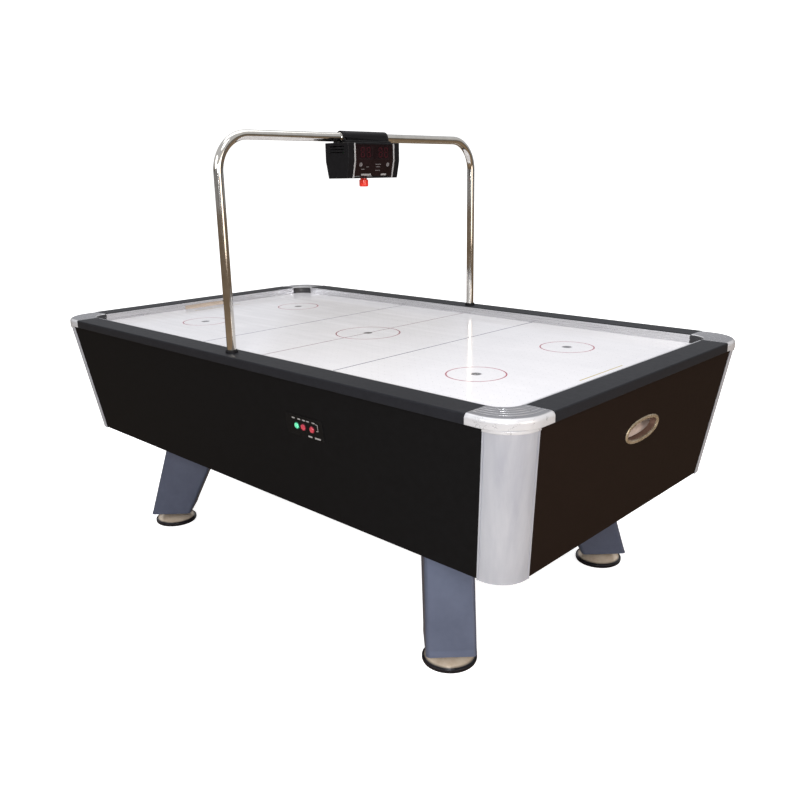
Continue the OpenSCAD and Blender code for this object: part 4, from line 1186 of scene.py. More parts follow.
firstLeg = makeLeg("leg_shape")
firstFoot = makeFoot("foot_shape")
firstRing = makeFootRing("foot_ring")
for corner, sides in corners.items():
    twin = mirrored(firstLeg, f"leg_shape_{corner}", *sides)
    finishPiece(twin, "table", surfaces["legSilverBlue"], (f"leg_{corner}",), 30)
    twin = mirrored(firstFoot, f"foot_shape_{corner}", *sides)
    finishPiece(twin, f"foot_{corner}", surfaces["chromeTanPaintedReflection"], (f"foot_{corner}",), 35)
    twin = mirrored(firstRing, f"foot_ring_{corner}", *sides)
    finishPiece(twin, f"foot_{corner}", surfaces["rubberDark"], (), 35)
for first in (firstLeg, firstFoot, firstRing):
    bpy.data.objects.remove(first)
print("legs and feet done")


# arch: two bent tubes, collars on the rails, a sleeve in the middle

arch = {
    "radius": 14 * mm,
    "wall": 2 * mm,
    "bend": 105 * mm,
    "bendSteps": 20,
    "sides": 36,
    "foot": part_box("arch_tube_front")[0].z,
    "height": middleOf("arch_sleeve").z,
    "y": (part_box("rail_front")[0].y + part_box("bumper_front")[1].y) / 2,
    "collar": 19 * mm,
    "collarHigh": 9 * mm,
    "sleeve": 15.6 * mm,
}


def makeTube(name):
    clearSelection()
    bpy.ops.mesh.primitive_circle_add(
        vertices=arch["sides"], radius=arch["radius"], location=(0, arch["y"], arch["foot"])
    )
    piece = settle(name)
    bendZ = arch["height"] - arch["bend"]
    bpy.ops.object.mode_set(mode="EDIT")
    bpy.ops.mesh.select_all(action="SELECT")
    bpy.ops.mesh.extrude_region_move(TRANSFORM_OT_translate={"value": (0, 0, bendZ - arch["foot"])})
    bpy.ops.mesh.spin(
        steps=arch["bendSteps"], angle=math.pi / 2, center=(
            0, arch["y"] + arch["bend"], bendZ
        ), axis=(1, 0, 0)
    )
    bpy.ops.mesh.extrude_region_move(TRANSFORM_OT_translate={"value": (0, -arch["y"] - arch["bend"], 0)})
    mendSurface(piece)
    applyModifier(piece, "SOLIDIFY", thickness=arch["wall"], offset=-1)
    return piece


def makeCollar(name):
    inner, outer, high = arch["radius"] + 0.15 * mm, arch["collar"], arch["collarHigh"]
    outline = [
        (inner, railTop - 20 * mm), (16.2 * mm, railTop - 20 * mm), (16.2 * mm, railTop), (outer, railTop),
        (outer, railTop + high * 0.35), (outer - 0.5 * mm, railTop + high * 0.5),
        (outer - 2 * mm, railTop + high * 0.85),
        (outer - 3 * mm, railTop + high), (inner + 0.6 * mm, railTop + high),
        (inner, railTop + high - 0.8 * mm),
        (inner, railTop - 20 * mm),
    ]
    return turnOutline(name, outline, centre=(0, arch["y"], 0), steps=48)


def makeSleeve(name):
    half, outer, inner = sizeOf("arch_sleeve").y / 2, arch["sleeve"], arch["radius"] + 0.1 * mm
    outline = [
        (inner, -half), (outer - 0.7 * mm, -half), (outer, -half + 0.7 * mm), (outer, -half + 2.6 * mm),
        (outer - 0.5 * mm, -half + 3 * mm), (outer - 0.5 * mm, -half + 3.8 * mm), (outer, -half + 4.2 * mm),
        (outer, half - 4.2 * mm), (outer - 0.5 * mm, half - 3.8 * mm), (outer - 0.5 * mm, half - 3 * mm),
        (outer, half - 2.6 * mm), (outer, half - 0.7 * mm), (outer - 0.7 * mm, half), (inner, half),
        (inner, -half),
    ]
    return turnOutline(name, outline, centre=(0, 0, arch["height"]), axis=(0, 1, 0), steps=40)


firstTube = makeTube("arch_tube_shape_front")
backTube = mirrored(firstTube, "arch_tube_shape_back", 1, -1)
finishPiece(firstTube, "table", surfaces["chrome"], ("arch_tube_front",), 30)
finishPiece(backTube, "table", surfaces["chrome"], ("arch_tube_back",), 30)
collar = makeCollar("arch_collar_front")
finishPiece(
    mirrored(collar, "arch_collar_back", 1, -1), "table", surfaces["scorerBlack"],
    ("arch_sockets",), 35
)
finishPiece(collar, "table", surfaces["scorerBlack"], ("arch_sockets",), 35)
finishPiece(makeSleeve("arch_sleeve_shape"), "table", surfaces["chrome"], ("arch_sleeve",), 35)
print("arch done")


# scorer: shell with vents, smoked faces with digits, silver strips, saddle and reset button

scorer = {
    "half": sizeOf("scorer_housing").y / 2,
    "face": sizeOf("scorer_housing").x / 2,
    "low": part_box("scorer_housing")[0].z,
    "top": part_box("scorer_housing")[1].z,
    "kink": 1352 * mm,
    "kinkIn": 12 * mm,
    "wall": 3 * mm,
    "windowHalf": 84 * mm,
    "windowRim": 6 * mm,
    "soft": 2.2 * mm,
    "ventWidth": 3.2 * mm,
    "vents": 3,
    "stripAt": 88 * mm,
    "stripWidth": 5.6 * mm,
    "stripProud": 1.3 * mm,
}


def faceX(z):
    # half thickness of the scorer at one height
    if z >= scorer["kink"]:
        return scorer["face"]
    return scorer["face"] - scorer["kinkIn"] * (scorer["kink"] - z) / (scorer["kink"] - scorer["low"])


def scorerOutline(setIn):
    low, top = scorer["low"] + setIn, scorer["top"] - setIn
    right = [
        (faceX(low) - setIn, low), (faceX(scorer["kink"]) - setIn, scorer["kink"]),
        (scorer["face"] - setIn, top)
    ]
    return right + [(-x, z) for x, z in reversed(right)]


def makeHousing(name):
    half = scorer["half"]
    piece = addPrism(name, [(x, -half, z) for x, z in scorerOutline(0)], (0, 2 * half, 0))
    roundEdges(piece, scorer["soft"], 3, 20)
    hollow = half - scorer["wall"]
    inner = addPrism(
        "hollow", [(x, -hollow, z) for x, z in scorerOutline(scorer["wall"])], (0, 2 * hollow, 0)
    )
    cutWith(piece, inner)
    wide, deep, rim = scorer["windowHalf"], 2 * scorer["face"], scorer["windowRim"]
    cutWith(piece, addBox("windows", (-deep, -wide, scorer["low"] + rim), (deep, wide, scorer["top"] - rim)))
    cutWith(piece, addRod("reset_hole", 11 * mm, scorer["low"] - mm, scorer["low"] + 2 * scorer["wall"]))
    for vent in range(scorer["vents"]):
        z = scorer["top"] - (14 + 9 * vent) * mm
        slotLow, slotHigh = (-34 * mm, -2 * half, z), (34 * mm, 2 * half, z + scorer["ventWidth"])
        cutWith(piece, addBox("vent", slotLow, slotHigh))
    roundEdges(piece, 0.4 * mm, 1, 50)
    return piece


def makeScorerFace(name):
    slot = scorer["windowRim"] + 0.3 * mm
    low, top, wall = scorer["low"] + slot, scorer["top"] - slot, scorer["wall"]
    outside = [(faceX(low), low), (scorer["face"], scorer["kink"]), (scorer["face"], top)]
    inside = [(x - wall, z) for x, z in reversed(outside)]
    half = scorer["windowHalf"] - 0.3 * mm
    piece = addPrism(name, [(x, -half, z) for x, z in outside + inside], (0, 2 * half, 0))
    # a shallow window over each pair of digits
    for side in (-1, 1):
        middle = Vector((scorer["face"], side * digits["pairY"], digits["z"]))
        size = Vector((1.0 * mm, digits["windowWide"] / 2, digits["windowHigh"] / 2))
        cutWith(piece, addBox("digit_window", middle - size, middle + size))
    roundEdges(piece, 0.5 * mm, 2, 40)
    return piece


digits = {
    "pairY": 40 * mm,
    "apart": 26 * mm,
    "z": 1378 * mm,
    "high": 32 * mm,
    "wide": 17 * mm,
    "stroke": 3.4 * mm,
    "windowWide": 60 * mm,
    "windowHigh": 41 * mm,
    "proud": 0.5 * mm,
}


def makeDigits(name):
    # unlit seven-bar digits, two for each player, standing in the windows
    wide, high, stroke = digits["wide"] / 2, digits["high"] / 2, digits["stroke"] / 2
    long = high - 2 * stroke
    bars = [(0, z, wide - 1.4 * stroke, stroke * 0.8) for z in (-high + stroke, 0, high - stroke)]
    bars += [
        (y, z, stroke * 0.8, long / 2) for y in (
            -wide + stroke, wide - stroke
        ) for z in (-high / 2, high / 2)
    ]
    pieces = []
    for pair in (-1, 1):
        for place in (-0.5, 0.5):
            middleY = pair * digits["pairY"] + place * digits["apart"]
            for y, z, halfWide, halfHigh in bars:
                middle = Vector((scorer["face"] - 0.8 * mm, middleY + y, digits["z"] + z))
                size = Vector((digits["proud"], halfWide, halfHigh))
                bar = addBox("bar", middle - size, middle + size)
                pickEdges(bar, lambda a, b: abs(a.x - b.x) > 0.4 * mm)
                bpy.ops.mesh.bevel(offset=stroke * 0.7, segments=1)
                bpy.ops.object.mode_set(mode="OBJECT")
                pieces.append(bar)
    piece = joinInto(pieces[0], pieces[1:])
    piece.name = name
    return piece


slope = math.atan(scorer["kinkIn"] / (scorer["kink"] - scorer["low"]))


def onSlope(y, z):
    # frame on the sloping lower part of the right face: X across, Y up the face, Z outwards
    return Matrix.Translation((faceX(z), y, z)) @ Matrix.Rotation(math.pi / 2, 4, "Z") @ Matrix.Rotation(
        math.pi / 2 + slope, 4, "X"
    )


def makeMarks(name):
    # round caps and blank legend bars on the lower part of the face
    pieces = []
    for side in (-1, 1):
        outline = [(0, 0.5), (3.4, 0.6), (4.2, 1.5), (5.6, 1.6), (6.4, 1.0), (6.6, -0.5), (0, -0.5)]
        ring = turnOutline("mark", [(r * mm, z * mm) for r, z in outline], steps=32)
        placeWith(ring, onSlope(side * 61 * mm, 1340 * mm))
        pieces.append(ring)
    for y, z, wide in ((-50, 1326, 16), (17, 1341, 24), (17, 1333, 19), (17, 1322, 22), (-30, 1333, 12)):
        bar = addBox("bar", (-wide / 2 * mm, -1.1 * mm, -0.5 * mm), (wide / 2 * mm, 1.1 * mm, 0.4 * mm))
        roundEdges(bar, 0.3 * mm, 2, 40)
        placeWith(bar, onSlope(y * mm, z * mm))
        pieces.append(bar)
    piece = joinInto(pieces[0], pieces[1:])
    piece.name = name
    return piece


def makeLabels(name):
    pieces = []
    for y, wide in ((-33, 44), (47, 24)):
        plate = addBox("label", (-wide / 2 * mm, -3 * mm, -0.5 * mm), (wide / 2 * mm, 3 * mm, 0.5 * mm))
        roundEdges(plate, 0.35 * mm, 2, 40)
        placeWith(plate, onSlope(y * mm, 1309 * mm))
        pieces.append(plate)
    piece = joinInto(pieces[0], pieces[1:])
    piece.name = name
    return piece


def makeStrip(name, y):
    # silver strip that follows the bend of the face
    half, proud = scorer["stripWidth"] / 2, scorer["stripProud"]
    low, top = scorer["low"] + 1 * mm, scorer["top"] - 2.5 * mm
    outside = [(faceX(z) + proud, z) for z in (low, scorer["kink"], top)]
    inside = [(x - proud - 0.5 * mm, z) for x, z in reversed(outside)]
    piece = addPrism(name, [(x, y - half, z) for x, z in outside + inside], (0, 2 * half, 0))
    roundEdges(piece, 0.6 * mm, 2, 40)
    return piece


def makeSaddle(name):
    half = sizeOf("scorer_saddle").y / 2
    radius, baseHalf, baseHigh, base = 20 * mm, 32 * mm, 5 * mm, scorer["top"]
    outline = [(baseHalf, base), (baseHalf, base + baseHigh), (radius + 3 * mm, base + baseHigh + 1.5 * mm)]
    arcSteps = 18
    for step in range(arcSteps + 1):
        turn = math.pi * step / arcSteps
        outline.append((radius * math.cos(turn), arch["height"] + radius * math.sin(turn)))
    outline += [(-x, z) for x, z in reversed(outline[:3])]
    piece = addPrism(name, [(x, -half, z) for x, z in outline], (0, 2 * half, 0))
    # shallow ribs round the clamp, then the bore
    ribs = []
    for y in (-half + 9 * mm, half - 9 * mm):
        band = addBox(
            "band", (-baseHalf, y - 1.2 * mm, base + baseHigh + 3 * mm), (baseHalf, y + 1.2 * mm, 1.5)
        )
        core = addRod("core", radius - 0.8 * mm, -0.2, 0.2, 48)
        placeWith(core, Matrix.Translation((0, 0, arch["height"])) @ Matrix.Rotation(math.pi / 2, 4, "X"))
        cutWith(band, core)
        ribs.append(band)
    for rib in ribs:
        cutWith(piece, rib)
    bore = addRod("bore", arch["sleeve"] + 0.1 * mm, -half - mm, half + mm, 40)
    placeWith(bore, Matrix.Translation((0, 0, arch["height"])) @ Matrix.Rotation(math.pi / 2, 4, "X"))
    cutWith(piece, bore)
    roundEdges(piece, 1.0 * mm, 2, 45)
    screws = []
    for x in (-26.5, 26.5):
        for y in (-78, 78):
            head = turnOutline(
                "screw",
                [(0, -0.5 * mm), (3.6 * mm, -0.5 * mm), (3.6 * mm, 0.6 * mm), (2.8 * mm, 1.7 * mm),
                    (1.4 * mm, 2.1 * mm),
                 (1.2 * mm, 1.2 * mm), (0, 1.2 * mm)],
                centre=(x * mm, y * mm, base + baseHigh), steps=20,
            )
            screws.append(head)
    return joinInto(piece, screws)


def makeReset(name):
    r = sizeOf("reset_button").x / 2
    low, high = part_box("reset_button")
    shoulder = scorer["low"] - 4.3 * mm
    guide = r - 4.3 * mm
    nose = 5 * mm
    outline = [(0, low.z), (r - nose, low.z)]
    for step in range(9):
        turn = math.pi / 2 * step / 8
        outline.append((r - nose + nose * math.sin(turn), low.z + nose * (1 - math.cos(turn))))
    outline += [
        (r, shoulder - 2.4 * mm), (r - 0.7 * mm, shoulder - 2 * mm), (r - 0.7 * mm, shoulder - 1.4 * mm),
        (r, shoulder - 1 * mm), (r - 0.6 * mm, shoulder), (guide, shoulder),
        (guide, scorer["low"] + 3.3 * mm), (guide + 3 * mm, scorer["low"] + 3.3 * mm),
        (guide + 3 * mm, scorer["low"] + 5.3 * mm), (guide, scorer["low"] + 5.3 * mm), (guide, high.z),
        (0, high.z),
    ]
    return turnOutline(name, outline, steps=48)


finishPiece(
    makeHousing("scorer_housing_shape"), "table", surfaces["scorerBlack"],
    ("scorer_housing",), 30
)
finishPiece(
    makeSaddle("scorer_saddle_shape"), "table", surfaces["scorerBlack"],
    ("scorer_saddle",), 35
)
finishPiece(makeReset("reset_button_shape"), "reset_button", resetRed, ("reset_button",), 35)
rightParts = {
    "scorer_face": (makeScorerFace("scorer_face_shape_right"), "scorer_smoked", "scorerSmoked"),
    "scorer_digits": (makeDigits("scorer_digits_right"), "scorer_smoked", "digitRed"),
    "scorer_marks": (makeMarks("scorer_marks_right"), "scorer_smoked", "markGrey"),
    "scorer_labels": (makeLabels("scorer_labels_right"), "scorer_smoked", "legendPale"),
    "scorer_strip_a": (
        makeStrip("scorer_strip_a_right", -scorer["stripAt"]), "scorer_smoked", "stripSilver"
    ),
    "scorer_strip_b": (makeStrip("scorer_strip_b_right", scorer["stripAt"]), "scorer_smoked", "stripSilver"),
}
for label, (right, slotName, surface) in rightParts.items():
    twin = mirrored(right, right.name.replace("_right", "_left"), -1, 1)
    for piece, side in ((right, "right"), (twin, "left")):
        nodes = (f"scorer_face_{side}",) if label == "scorer_face" else ()
        finishPiece(piece, "table", surfaces[surface], nodes, 30)
print("scorer done")


# control panel: plate, bezels, lit buttons, blank legends and screws

control = {
    "x": middleOf("control_plate").x,
    "z": middleOf("control_plate").z,
    "wide": sizeOf("control_plate").x,
    "high": 62 * mm,
    "thick": 2 * mm,
    "corner": 5 * mm,
    "buttons": {"button_green": -32 * mm, "button_red_left": -5 * mm, "button_red_right": 31.5 * mm},
    "buttonY": -1 * mm,
    "buttonRadius": 8.5 * mm,
    "proud": 3.5 * mm,
    "bezel": 11 * mm,
}
onPlate = Matrix.Translation((control["x"], -wallY(control["z"]), control["z"])) @ Matrix.Rotation(
    math.pi / 2 + lean, 4, "X"
)


def makePlate(name):
    wide, high, thick = control["wide"] / 2, control["high"] / 2, control["thick"]
    piece = addBox(name, (-wide, -high, 0), (wide, high, thick))
    pickEdges(piece, lambda a, b: abs(a.z - b.z) > mm)
    bpy.ops.mesh.bevel(offset=control["corner"], segments=5)
    bpy.ops.object.mode_set(mode="OBJECT")
    pickFaces(piece, lambda place, normal: normal.z > 0.9)
    bpy.ops.mesh.inset(thickness=2.6 * mm)
    bpy.ops.mesh.inset(thickness=0.6 * mm, depth=-0.5 * mm)
    bpy.ops.object.mode_set(mode="OBJECT")
    roundEdges(piece, 0.5 * mm, 2, 50)
    for x in control["buttons"].values():
        hole = addRod(
            "hole", control["buttonRadius"] + 0.3 * mm, -mm, 2 * thick, place=(x, control["buttonY"])
        )
        cutWith(piece, hole)
    screws = []
    for x in (-1, 1):
        for y in (-1, 1):
            outline = [(0, 1.0), (1.1, 1.1), (1.3, 2.2), (2.5, 2.0), (3.2, 1.3), (3.3, 0.8), (0, 0.8)]
            screws.append(turnOutline(
                "screw", [(r * mm, z * mm) for r, z in outline],
                centre=(x * (wide - 8 * mm), y * (high - 7.5 * mm), 0.3 * mm), steps=20,
            ))
    joinInto(piece, screws)
    placeWith(piece, onPlate)
    return piece


def makeBezel(name, x):
    inner, outer = control["buttonRadius"] + 0.35 * mm, control["bezel"]
    outline = [(inner, 1.2 * mm), (inner, 2.6 * mm), (inner + 0.4 * mm, 3.0 * mm),
        (outer - 0.9 * mm, 2.9 * mm),
               (outer - 0.3 * mm, 2.4 * mm), (outer, 1.2 * mm), (inner, 1.2 * mm)]
    piece = turnOutline(name, outline, centre=(x, control["buttonY"], 0), steps=40)
    placeWith(piece, onPlate)
    return piece


def makeButton(name, x):
    r, proud, thick = control["buttonRadius"], control["proud"], control["thick"]
    top = thick + proud
    outline = [
        (0, -16 * mm), (4 * mm, -16 * mm), (4 * mm, thick - 5 * mm), (r, thick - 5 * mm),
        (r, top - 2 * mm)
    ]
    for step in range(1, 5):
        turn = math.pi / 2 * step / 4
        outline.append((r - 1.6 * mm * (1 - math.cos(turn)), top - 2 * mm + 1.6 * mm * math.sin(turn)))
    outline += [(r * 0.55, top - 0.1 * mm), (r * 0.3, top), (0, top)]
    piece = turnOutline(name, outline, centre=(x, control["buttonY"], 0), steps=40)
    placeWith(piece, onPlate)
    return piece


def makeLegends(name):
    # blank bars over the buttons, a bracket beside them and two marks below
    deck = control["thick"] - 0.5 * mm
    bars = [(x, 20, 12, 3.6) for x in (-44, -20, 0, 17, 40)]
    bars += [(56, 8, 1.8, 20), (51, 17.5, 8, 1.8), (52, -2, 8, 1.8)]
    bars += [(19, -24.5, 17, 4.6), (50, -24.5, 25, 4.6)]
    pieces = []
    for x, y, wide, high in bars:
        bar = addBox(
            "legend", ((x - wide / 2) * mm, (y - high / 2) * mm, deck - 0.1 * mm),
            ((x + wide / 2) * mm, (y + high / 2) * mm, deck + 0.35 * mm),
        )
        pickEdges(bar, lambda a, b: abs(a.z - b.z) > 0.3 * mm)
        bpy.ops.mesh.bevel(offset=min(wide, high) * 0.3 * mm, segments=2)
        bpy.ops.object.mode_set(mode="OBJECT")
        pieces.append(bar)
    piece = joinInto(pieces[0], pieces[1:])
    piece.name = name
    placeWith(piece, onPlate)
    return piece


finishPiece(
    makePlate("control_plate_shape"), "table", surfaces["plateBlack"], ("control_plate",),
    35
)
finishPiece(makeLegends("control_legends"), "table", surfaces["legendPale"], (), 35)
for button, x in control["buttons"].items():
    green = button == "button_green"
    collar = surfaces["bezelGreen"] if green else surfaces["bezelRed"]
    finishPiece(makeBezel(button.replace("button", "bezel"), x), "table", collar, (), 35)
    finishPiece(
        makeButton(button + "_shape", x), button,
        lensGreen if green else lensRed, (button,), 35,
    )
print("controls done")


# puck returns: an oval rim with a rounded lip, and its sleeve through the panel

rim = {
    "wide": 180 * mm,
    "high": 72 * mm,
    "z": middleOf("return_rim_right").z,
    "proud": 4 * mm,
    "band": 10.5 * mm,
    "sleeve": 18 * mm,
    "sleeveWall": 2.5 * mm,
    "fullness": 2.25,
    "steps": 72,
}


def makeOval(name, section):
    # the oval is drawn round the outside, then run inwards along the section ring by ring
    halfWide, halfHigh = rim["wide"] / 2 - section[0][0], rim["high"] / 2 - section[0][0]
    oval = []
    for step in range(rim["steps"]):
        turn = 2 * math.pi * step / rim["steps"]
        x, y = math.cos(turn), math.sin(turn)
        full = (abs(x) ** rim["fullness"] + abs(y) ** rim["fullness"]) ** (-1 / rim["fullness"])
        oval.append(Vector((halfWide * x * full, halfHigh * y * full, section[0][1])))
    piece = drawOutline(name, oval)
    for (lastIn, lastUp), (inwards, up) in zip(section, section[1:] + section[:1]):
        bpy.ops.mesh.extrude_region_move(TRANSFORM_OT_translate={"value": (0, 0, up - lastUp)})
        across = (rim["wide"] / 2 - inwards) / (rim["wide"] / 2 - lastIn)
        along = (rim["high"] / 2 - inwards) / (rim["high"] / 2 - lastIn)
        bpy.ops.transform.resize(value=(across, along, 1), center_override=(0, 0, 0))
    mendSurface(piece)
    z = rim["z"]
    placeWith(
        piece,
        Matrix.Translation((wallX(z), 0, z)) @ Matrix.Rotation(math.pi / 2 + lean, 4, "Y")
        @ Matrix.Rotation(math.pi / 2, 4, "Z"),
    )
    return piece


def makeRim(name):
    band, proud = rim["band"], rim["proud"]
    section = [(0, 0), (0, proud * 0.35)]
    for step in range(1, 8):
        turn = math.pi * step / 8
        section.append((band * (1 - math.cos(turn)) / 2, proud * (0.35 + 0.65 * math.sin(turn))))
    section += [
        (band, proud * 0.2), (band, -2 * mm), (band - rim["sleeveWall"], -2 * mm),
        (band - rim["sleeveWall"], 0)
    ]
    return makeOval(name, section)


def makeReturnSleeve(name):
    # moulded lining from behind the lip to the back of the panel; its dark brown is painted shade inside the
    # opening
    band, wall = rim["band"], rim["sleeveWall"]
    return makeOval(name, [
        (band + 0.3 * mm, -1.5 * mm), (band + 0.3 * mm, -rim["sleeve"]), (band - wall, -rim["sleeve"]),
        (band - wall, -2.2 * mm), (band - 0.3 * mm, -1.5 * mm),
    ])


rightRim = makeRim("return_rim_shape_right")
rightSleeve = makeReturnSleeve("return_sleeve_right")
rimParts = ((rightRim, "rimChampagne", "rim_champagne"), (rightSleeve, "sleevePaintedShadeBrown", "rim_champagne"))
for right, surface, slotName in rimParts:
    left = mirrored(right, right.name.replace("right", "left"), -1, 1)
    for piece, side in ((right, "right"), (left, "left")):
        nodes = (f"return_rim_{side}",) if right is rightRim else ()
        finishPiece(piece, "table", surfaces[surface], nodes, 35)
print("return rims done")


# board, sheet and moulded parts: CAD shapes with their edges broken

reworked = {
    # node: (slot, surface, edge width, segments)
    "side_panel_front": ("laminate_black", "laminateBlack", 1.2, 3),
    "side_panel_back": ("laminate_black", "laminateBlack", 1.2, 3),
    # the end panels take the painted warm-light tone of the same black laminate
    "end_panel_left": ("laminate_black", "laminateEndPaintedWarmLight", 1.2, 3),
    "end_panel_right": ("laminate_black", "laminateEndPaintedWarmLight", 1.2, 3),
    "rail_front": ("rail_black", "railBlack", 0.9, 2),
    "rail_back": ("rail_black", "railBlack", 0.9, 2),
    "rail_left": ("rail_black", "railBlack", 0.9, 2),
    "rail_right": ("rail_black", "railBlack", 0.9, 2),
    "bumper_front": ("bumper_pale", "bumperPale", 0.8, 2),
    "bumper_back": ("bumper_pale", "bumperPale", 0.8, 2),
    "bumper_left": ("bumper_pale", "bumperPale", 0.8, 2),
    "bumper_right": ("bumper_pale", "bumperPale", 0.8, 2),
    "bottom_panel": ("board_dark", "boardDark", 1.0, 2),
    "chamber_frame": ("board_raw", "boardRaw", 0.6, 1),
    "chamber_floor": ("board_raw", "boardRaw", 0.6, 1),
    "puck_chute_left": ("chute_moulded", "chuteMoulded", 1.0, 2),
    "puck_chute_right": ("chute_moulded", "chuteMoulded", 1.0, 2),
    "goal_sensors": ("blower_black", "blowerBlack", 1.0, 2),
    "blower_housing": ("blower_black", "blowerBlack", 1.0, 2),
    "intake_grille": ("blower_black", "blowerBlack", 0.7, 2),
    "power_inlet": ("blower_black", "blowerBlack", 0.8, 2),
    "switch_bodies": ("blower_black", "blowerBlack", 0.8, 2),
    "blower_wheel": ("wheel_grey", "wheelGrey", 0.3, 1),
    "blower_motor": ("motor_grey", "motorGrey", 2.0, 3),
    "power_box": ("box_steel", "boxSteel", 1.2, 2),
    "leg_bolts": ("bolt_steel", "boltSteel", 0.6, 1),
    "scorer_board": ("circuit_board", "circuitBoard", 0.4, 1),
}
for node, (slotName, surface, width, segments) in reworked.items():
    piece = copyOfNode(node)
    roundEdges(piece, width * mm, segments, 40)
    finishPiece(
        piece, "blower_wheel" if node == "blower_wheel" else "table", surfaces[surface],
        (node,), 30
    )
print("reworked:", len(reworked))


# goal pockets: a thin pale lining at the back and over the drop, its finish glowing as painted light in the
# pocket's shade

goal = {
    "wide": 230 * mm,
    "high": 15 * mm,
    "deep": 72 * mm,
    "sheet": 1.2 * mm,
    "below": 26 * mm,
    "offWall": 19.6 * mm,
}


def makeGoalLining(name):
    # folded strip: up the inside of the end panel, out over its top and up the back of the pocket
    back = halfLength - railWidth + goal["deep"]
    sheet, half = goal["sheet"], goal["wide"] / 2
    low, ledge, top = deckZ - goal["below"], deckZ + 0.5 * mm, deckZ + goal["high"] - 0.4 * mm
    foot, bend = wallX(low) - goal["offWall"], wallX(ledge) - goal["offWall"]
    outline = [(foot, low), (bend, ledge + sheet), (back - sheet, ledge + sheet), (back - sheet, top)]
    outline += [(back, top), (back, ledge), (bend + sheet, ledge), (foot + sheet, low)]
    piece = addPrism(name, [(x, -half, z) for x, z in outline], (0, 2 * half, 0))
    roundEdges(piece, 0.25 * mm, 1, 40)
    return piece


rightLining = makeGoalLining("goal_lining_right")
leftLining = mirrored(rightLining, "goal_lining_left", -1, 1)
for piece in (rightLining, leftLining):
    finishPiece(piece, "table", surfaces["goalPalePaintedGlow"], (), 30)
print("goal linings done")


# what is still the CAD node itself gets its finish

nodeSurfaces = {
    "laminate_black": "laminateBlack",
    "post_silver": "postSilver",
    "cap_silver": "capSilver",
    "rail_black": "railBlack",
    "bumper_pale": "bumperPale",
    "bumper_dark": "bumperDark",
    "playfield_white": "playfieldWhite",
    "board_raw": "boardRaw",
    "board_dark": "boardDark",
    "chute_moulded": "chuteMoulded",
    "rim_champagne": "rimChampagne",
    "blower_black": "blowerBlack",
    "wheel_grey": "wheelGrey",
    "motor_grey": "motorGrey",
    "box_steel": "boxSteel",
    "plate_black": "plateBlack",
    "button_green": "lensGreen",
    "button_red": "lensRed",
    "leg_silverblue": "legSilverBlue",
    "chrome": "chrome",
    "bolt_steel": "boltSteel",
    "scorer_black": "scorerBlack",
    "scorer_smoked": "scorerSmoked",
    "circuit_board": "circuitBoard",
}
surfaces["lensGreen"] = lensGreen
surfaces["lensRed"] = lensRed
slotOf = {row["node"]: row["material_slot"] for row in frame["record"]["subparts"]}
for node, piece in frame["nodes"].items():
    piece.data.materials.clear()
    piece.data.materials.append(surfaces[nodeSurfaces[slotOf[node]]])


# floor, light and camera

stage = {
    "floor": 60,
    "keyPower": 66,
    "fillPower": 55,
    "topPower": 60,
    "rimPower": 36,
    "flashPower": 48,
    "floorGlow": 0.8,
    "mirroredFloor": (0.27, 0.195, 0.125),
    "panelTone": (0.80, 0.82, 0.88),
    "backdrop": (1.6, 1.6, 1.6),
    "worldStrength": 0.75,
}


def makeFloor():
    clearSelection()
    bpy.ops.mesh.primitive_plane_add(size=stage["floor"], location=(0, 0, 0))
    floor = settle("floor")
    material, tree, shader, place = startMaterial("floorPale", {"Specular IOR Level": 0.1})
    tone = useEffect(tree, "mottle", (-1000, 0), place, Scale=0.6, Detail=2)
    pale = mixColours(tree, tone, (0.90, 0.90, 0.905), (0.93, 0.93, 0.93))
    tree.links.new(rangeNode(tree, tone, 0, 1, 0.75, 0.9), shader.inputs["Roughness"])
    # the floor shows white to the camera without lighting the table more
    rays = addNode(tree, "ShaderNodeLightPath", (-600, -400))
    glow = mathNode(tree, "MULTIPLY", (-400, -400), rays.outputs["Is Camera Ray"], stage["floorGlow"])
    # and polished pieces mirror it as a tan floor
    seen = mixColours(tree, rays.outputs["Is Glossy Ray"], pale, stage["mirroredFloor"], (-300, 200))
    tree.links.new(seen, shader.inputs["Base Color"])
    shader.inputs["Emission Color"].default_value = (1, 1, 1, 1)
    tree.links.new(glow, shader.inputs["Emission Strength"])
    floor.data.materials.append(material)


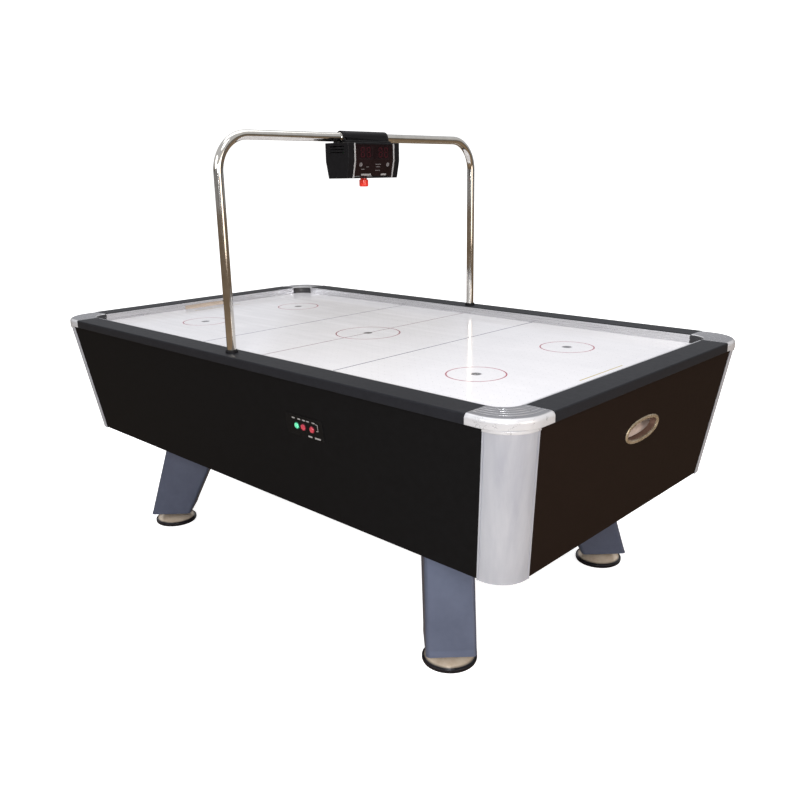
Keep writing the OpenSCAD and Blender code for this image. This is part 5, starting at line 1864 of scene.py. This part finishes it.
def makeWorld():
    # white to the camera; what the polished pieces mirror is a soft studio with a dim warm band low down
    world = bpy.data.worlds.new("studio")
    bpy.context.scene.world = world
    world.use_nodes = True
    tree = world.node_tree
    back = tree.nodes["Background"]
    direction = addNode(tree, "ShaderNodeTexCoord", (-1200, 0))
    parts = addNode(tree, "ShaderNodeSeparateXYZ", (-1000, 0))
    tree.links.new(direction.outputs["Generated"], parts.inputs[0])
    ramp = addNode(tree, "ShaderNodeValToRGB", (-700, 0))
    height = rangeNode(tree, parts.outputs["Z"], -1, 1, 0, 1, (-850, 0))
    tree.links.new(height, ramp.inputs["Fac"])
    steps = [
        (0.0, (0.55, 0.54, 0.53)),
        (0.47, (0.30, 0.27, 0.23)),
        (0.51, (0.055, 0.042, 0.028)),
        (0.57, (0.22, 0.19, 0.15)),
        (0.64, (0.85, 0.84, 0.82)),
        (1.0, (1.0, 1.0, 1.0)),
    ]
    while len(ramp.color_ramp.elements) < len(steps):
        ramp.color_ramp.elements.new(0.5)
    for element, (position, colour) in zip(ramp.color_ramp.elements, steps):
        element.position = position
        element.color = (*colour, 1)
    # pale panels stand here and there along the horizon, so the tubes show bright and dark lines
    panels = addNode(tree, "ShaderNodeTexNoise", (-1000, -300), Scale=3.2, Detail=1)
    tree.links.new(direction.outputs["Generated"], panels.inputs["Vector"])
    stands = rangeNode(tree, panels.outputs["Fac"], 0.47, 0.53, 0, 0.75, (-800, -300))
    around = mixColours(tree, stands, ramp.outputs["Color"], stage["panelTone"], (-500, -100))
    rays = addNode(tree, "ShaderNodeLightPath", (-700, 300))
    colour = mixColours(tree, rays.outputs["Is Camera Ray"], around, stage["backdrop"], (-300, 0))
    tree.links.new(colour, back.inputs["Color"])
    back.inputs["Strength"].default_value = stage["worldStrength"]


def addLight(name, place, target, size, power, colour=(1, 1, 1)):
    light = bpy.data.lights.new(name, "AREA")
    light.shape = "RECTANGLE"
    light.size, light.size_y = size
    light.energy = power
    light.color = colour
    lamp = bpy.data.objects.new(name, light)
    bpy.context.scene.collection.objects.link(lamp)
    lamp.location = place
    lamp.rotation_euler = (Vector(target) - Vector(place)).to_track_quat("-Z", "Y").to_euler()


makeFloor()
makeWorld()
addLight("key", (-0.4, -4.9, 3.2), (0, 0, 0.6), (3.2, 2.4), stage["keyPower"], (1, 0.985, 0.96))
addLight("fill", (4.9, -0.6, 1.7), (0.3, 0, 0.6), (2.6, 2.2), stage["fillPower"], (1, 0.84, 0.70))
addLight("edges", (1.95, -1.5, 4.2), (0.9, -0.5, 0.8), (1.4, 1.4), stage["rimPower"])
addLight("flash", (2.3, -2.55, 1.75), (0.9, -0.5, 0.7), (0.7, 0.7), stage["flashPower"])
addLight("top", (-0.5, 0.4, 4.6), (0, 0, 0.7), (4.2, 3.0), stage["topPower"])

view = {
    "place": (1.97305, -1.90210, 1.30432),
    "turn": 43.8,
    "down": 15.74,
    "roll": -1.0,
    "lens": 35.83,
}
cameraData = bpy.data.cameras.new("camera")
cameraData.sensor_width = 36
cameraData.lens = view["lens"]
camera = bpy.data.objects.new("camera", cameraData)
bpy.context.scene.collection.objects.link(camera)
camera.matrix_world = (
    Matrix.Translation(view["place"])
    @ Matrix.Rotation(math.radians(view["turn"]), 4, "Z")
    @ Matrix.Rotation(math.radians(90 - view["down"]), 4, "X")
    @ Matrix.Rotation(math.radians(view["roll"]), 4, "Z")
)
bpy.context.scene.camera = camera
bpy.context.scene.view_settings.view_transform = "Standard"

clearSelection()
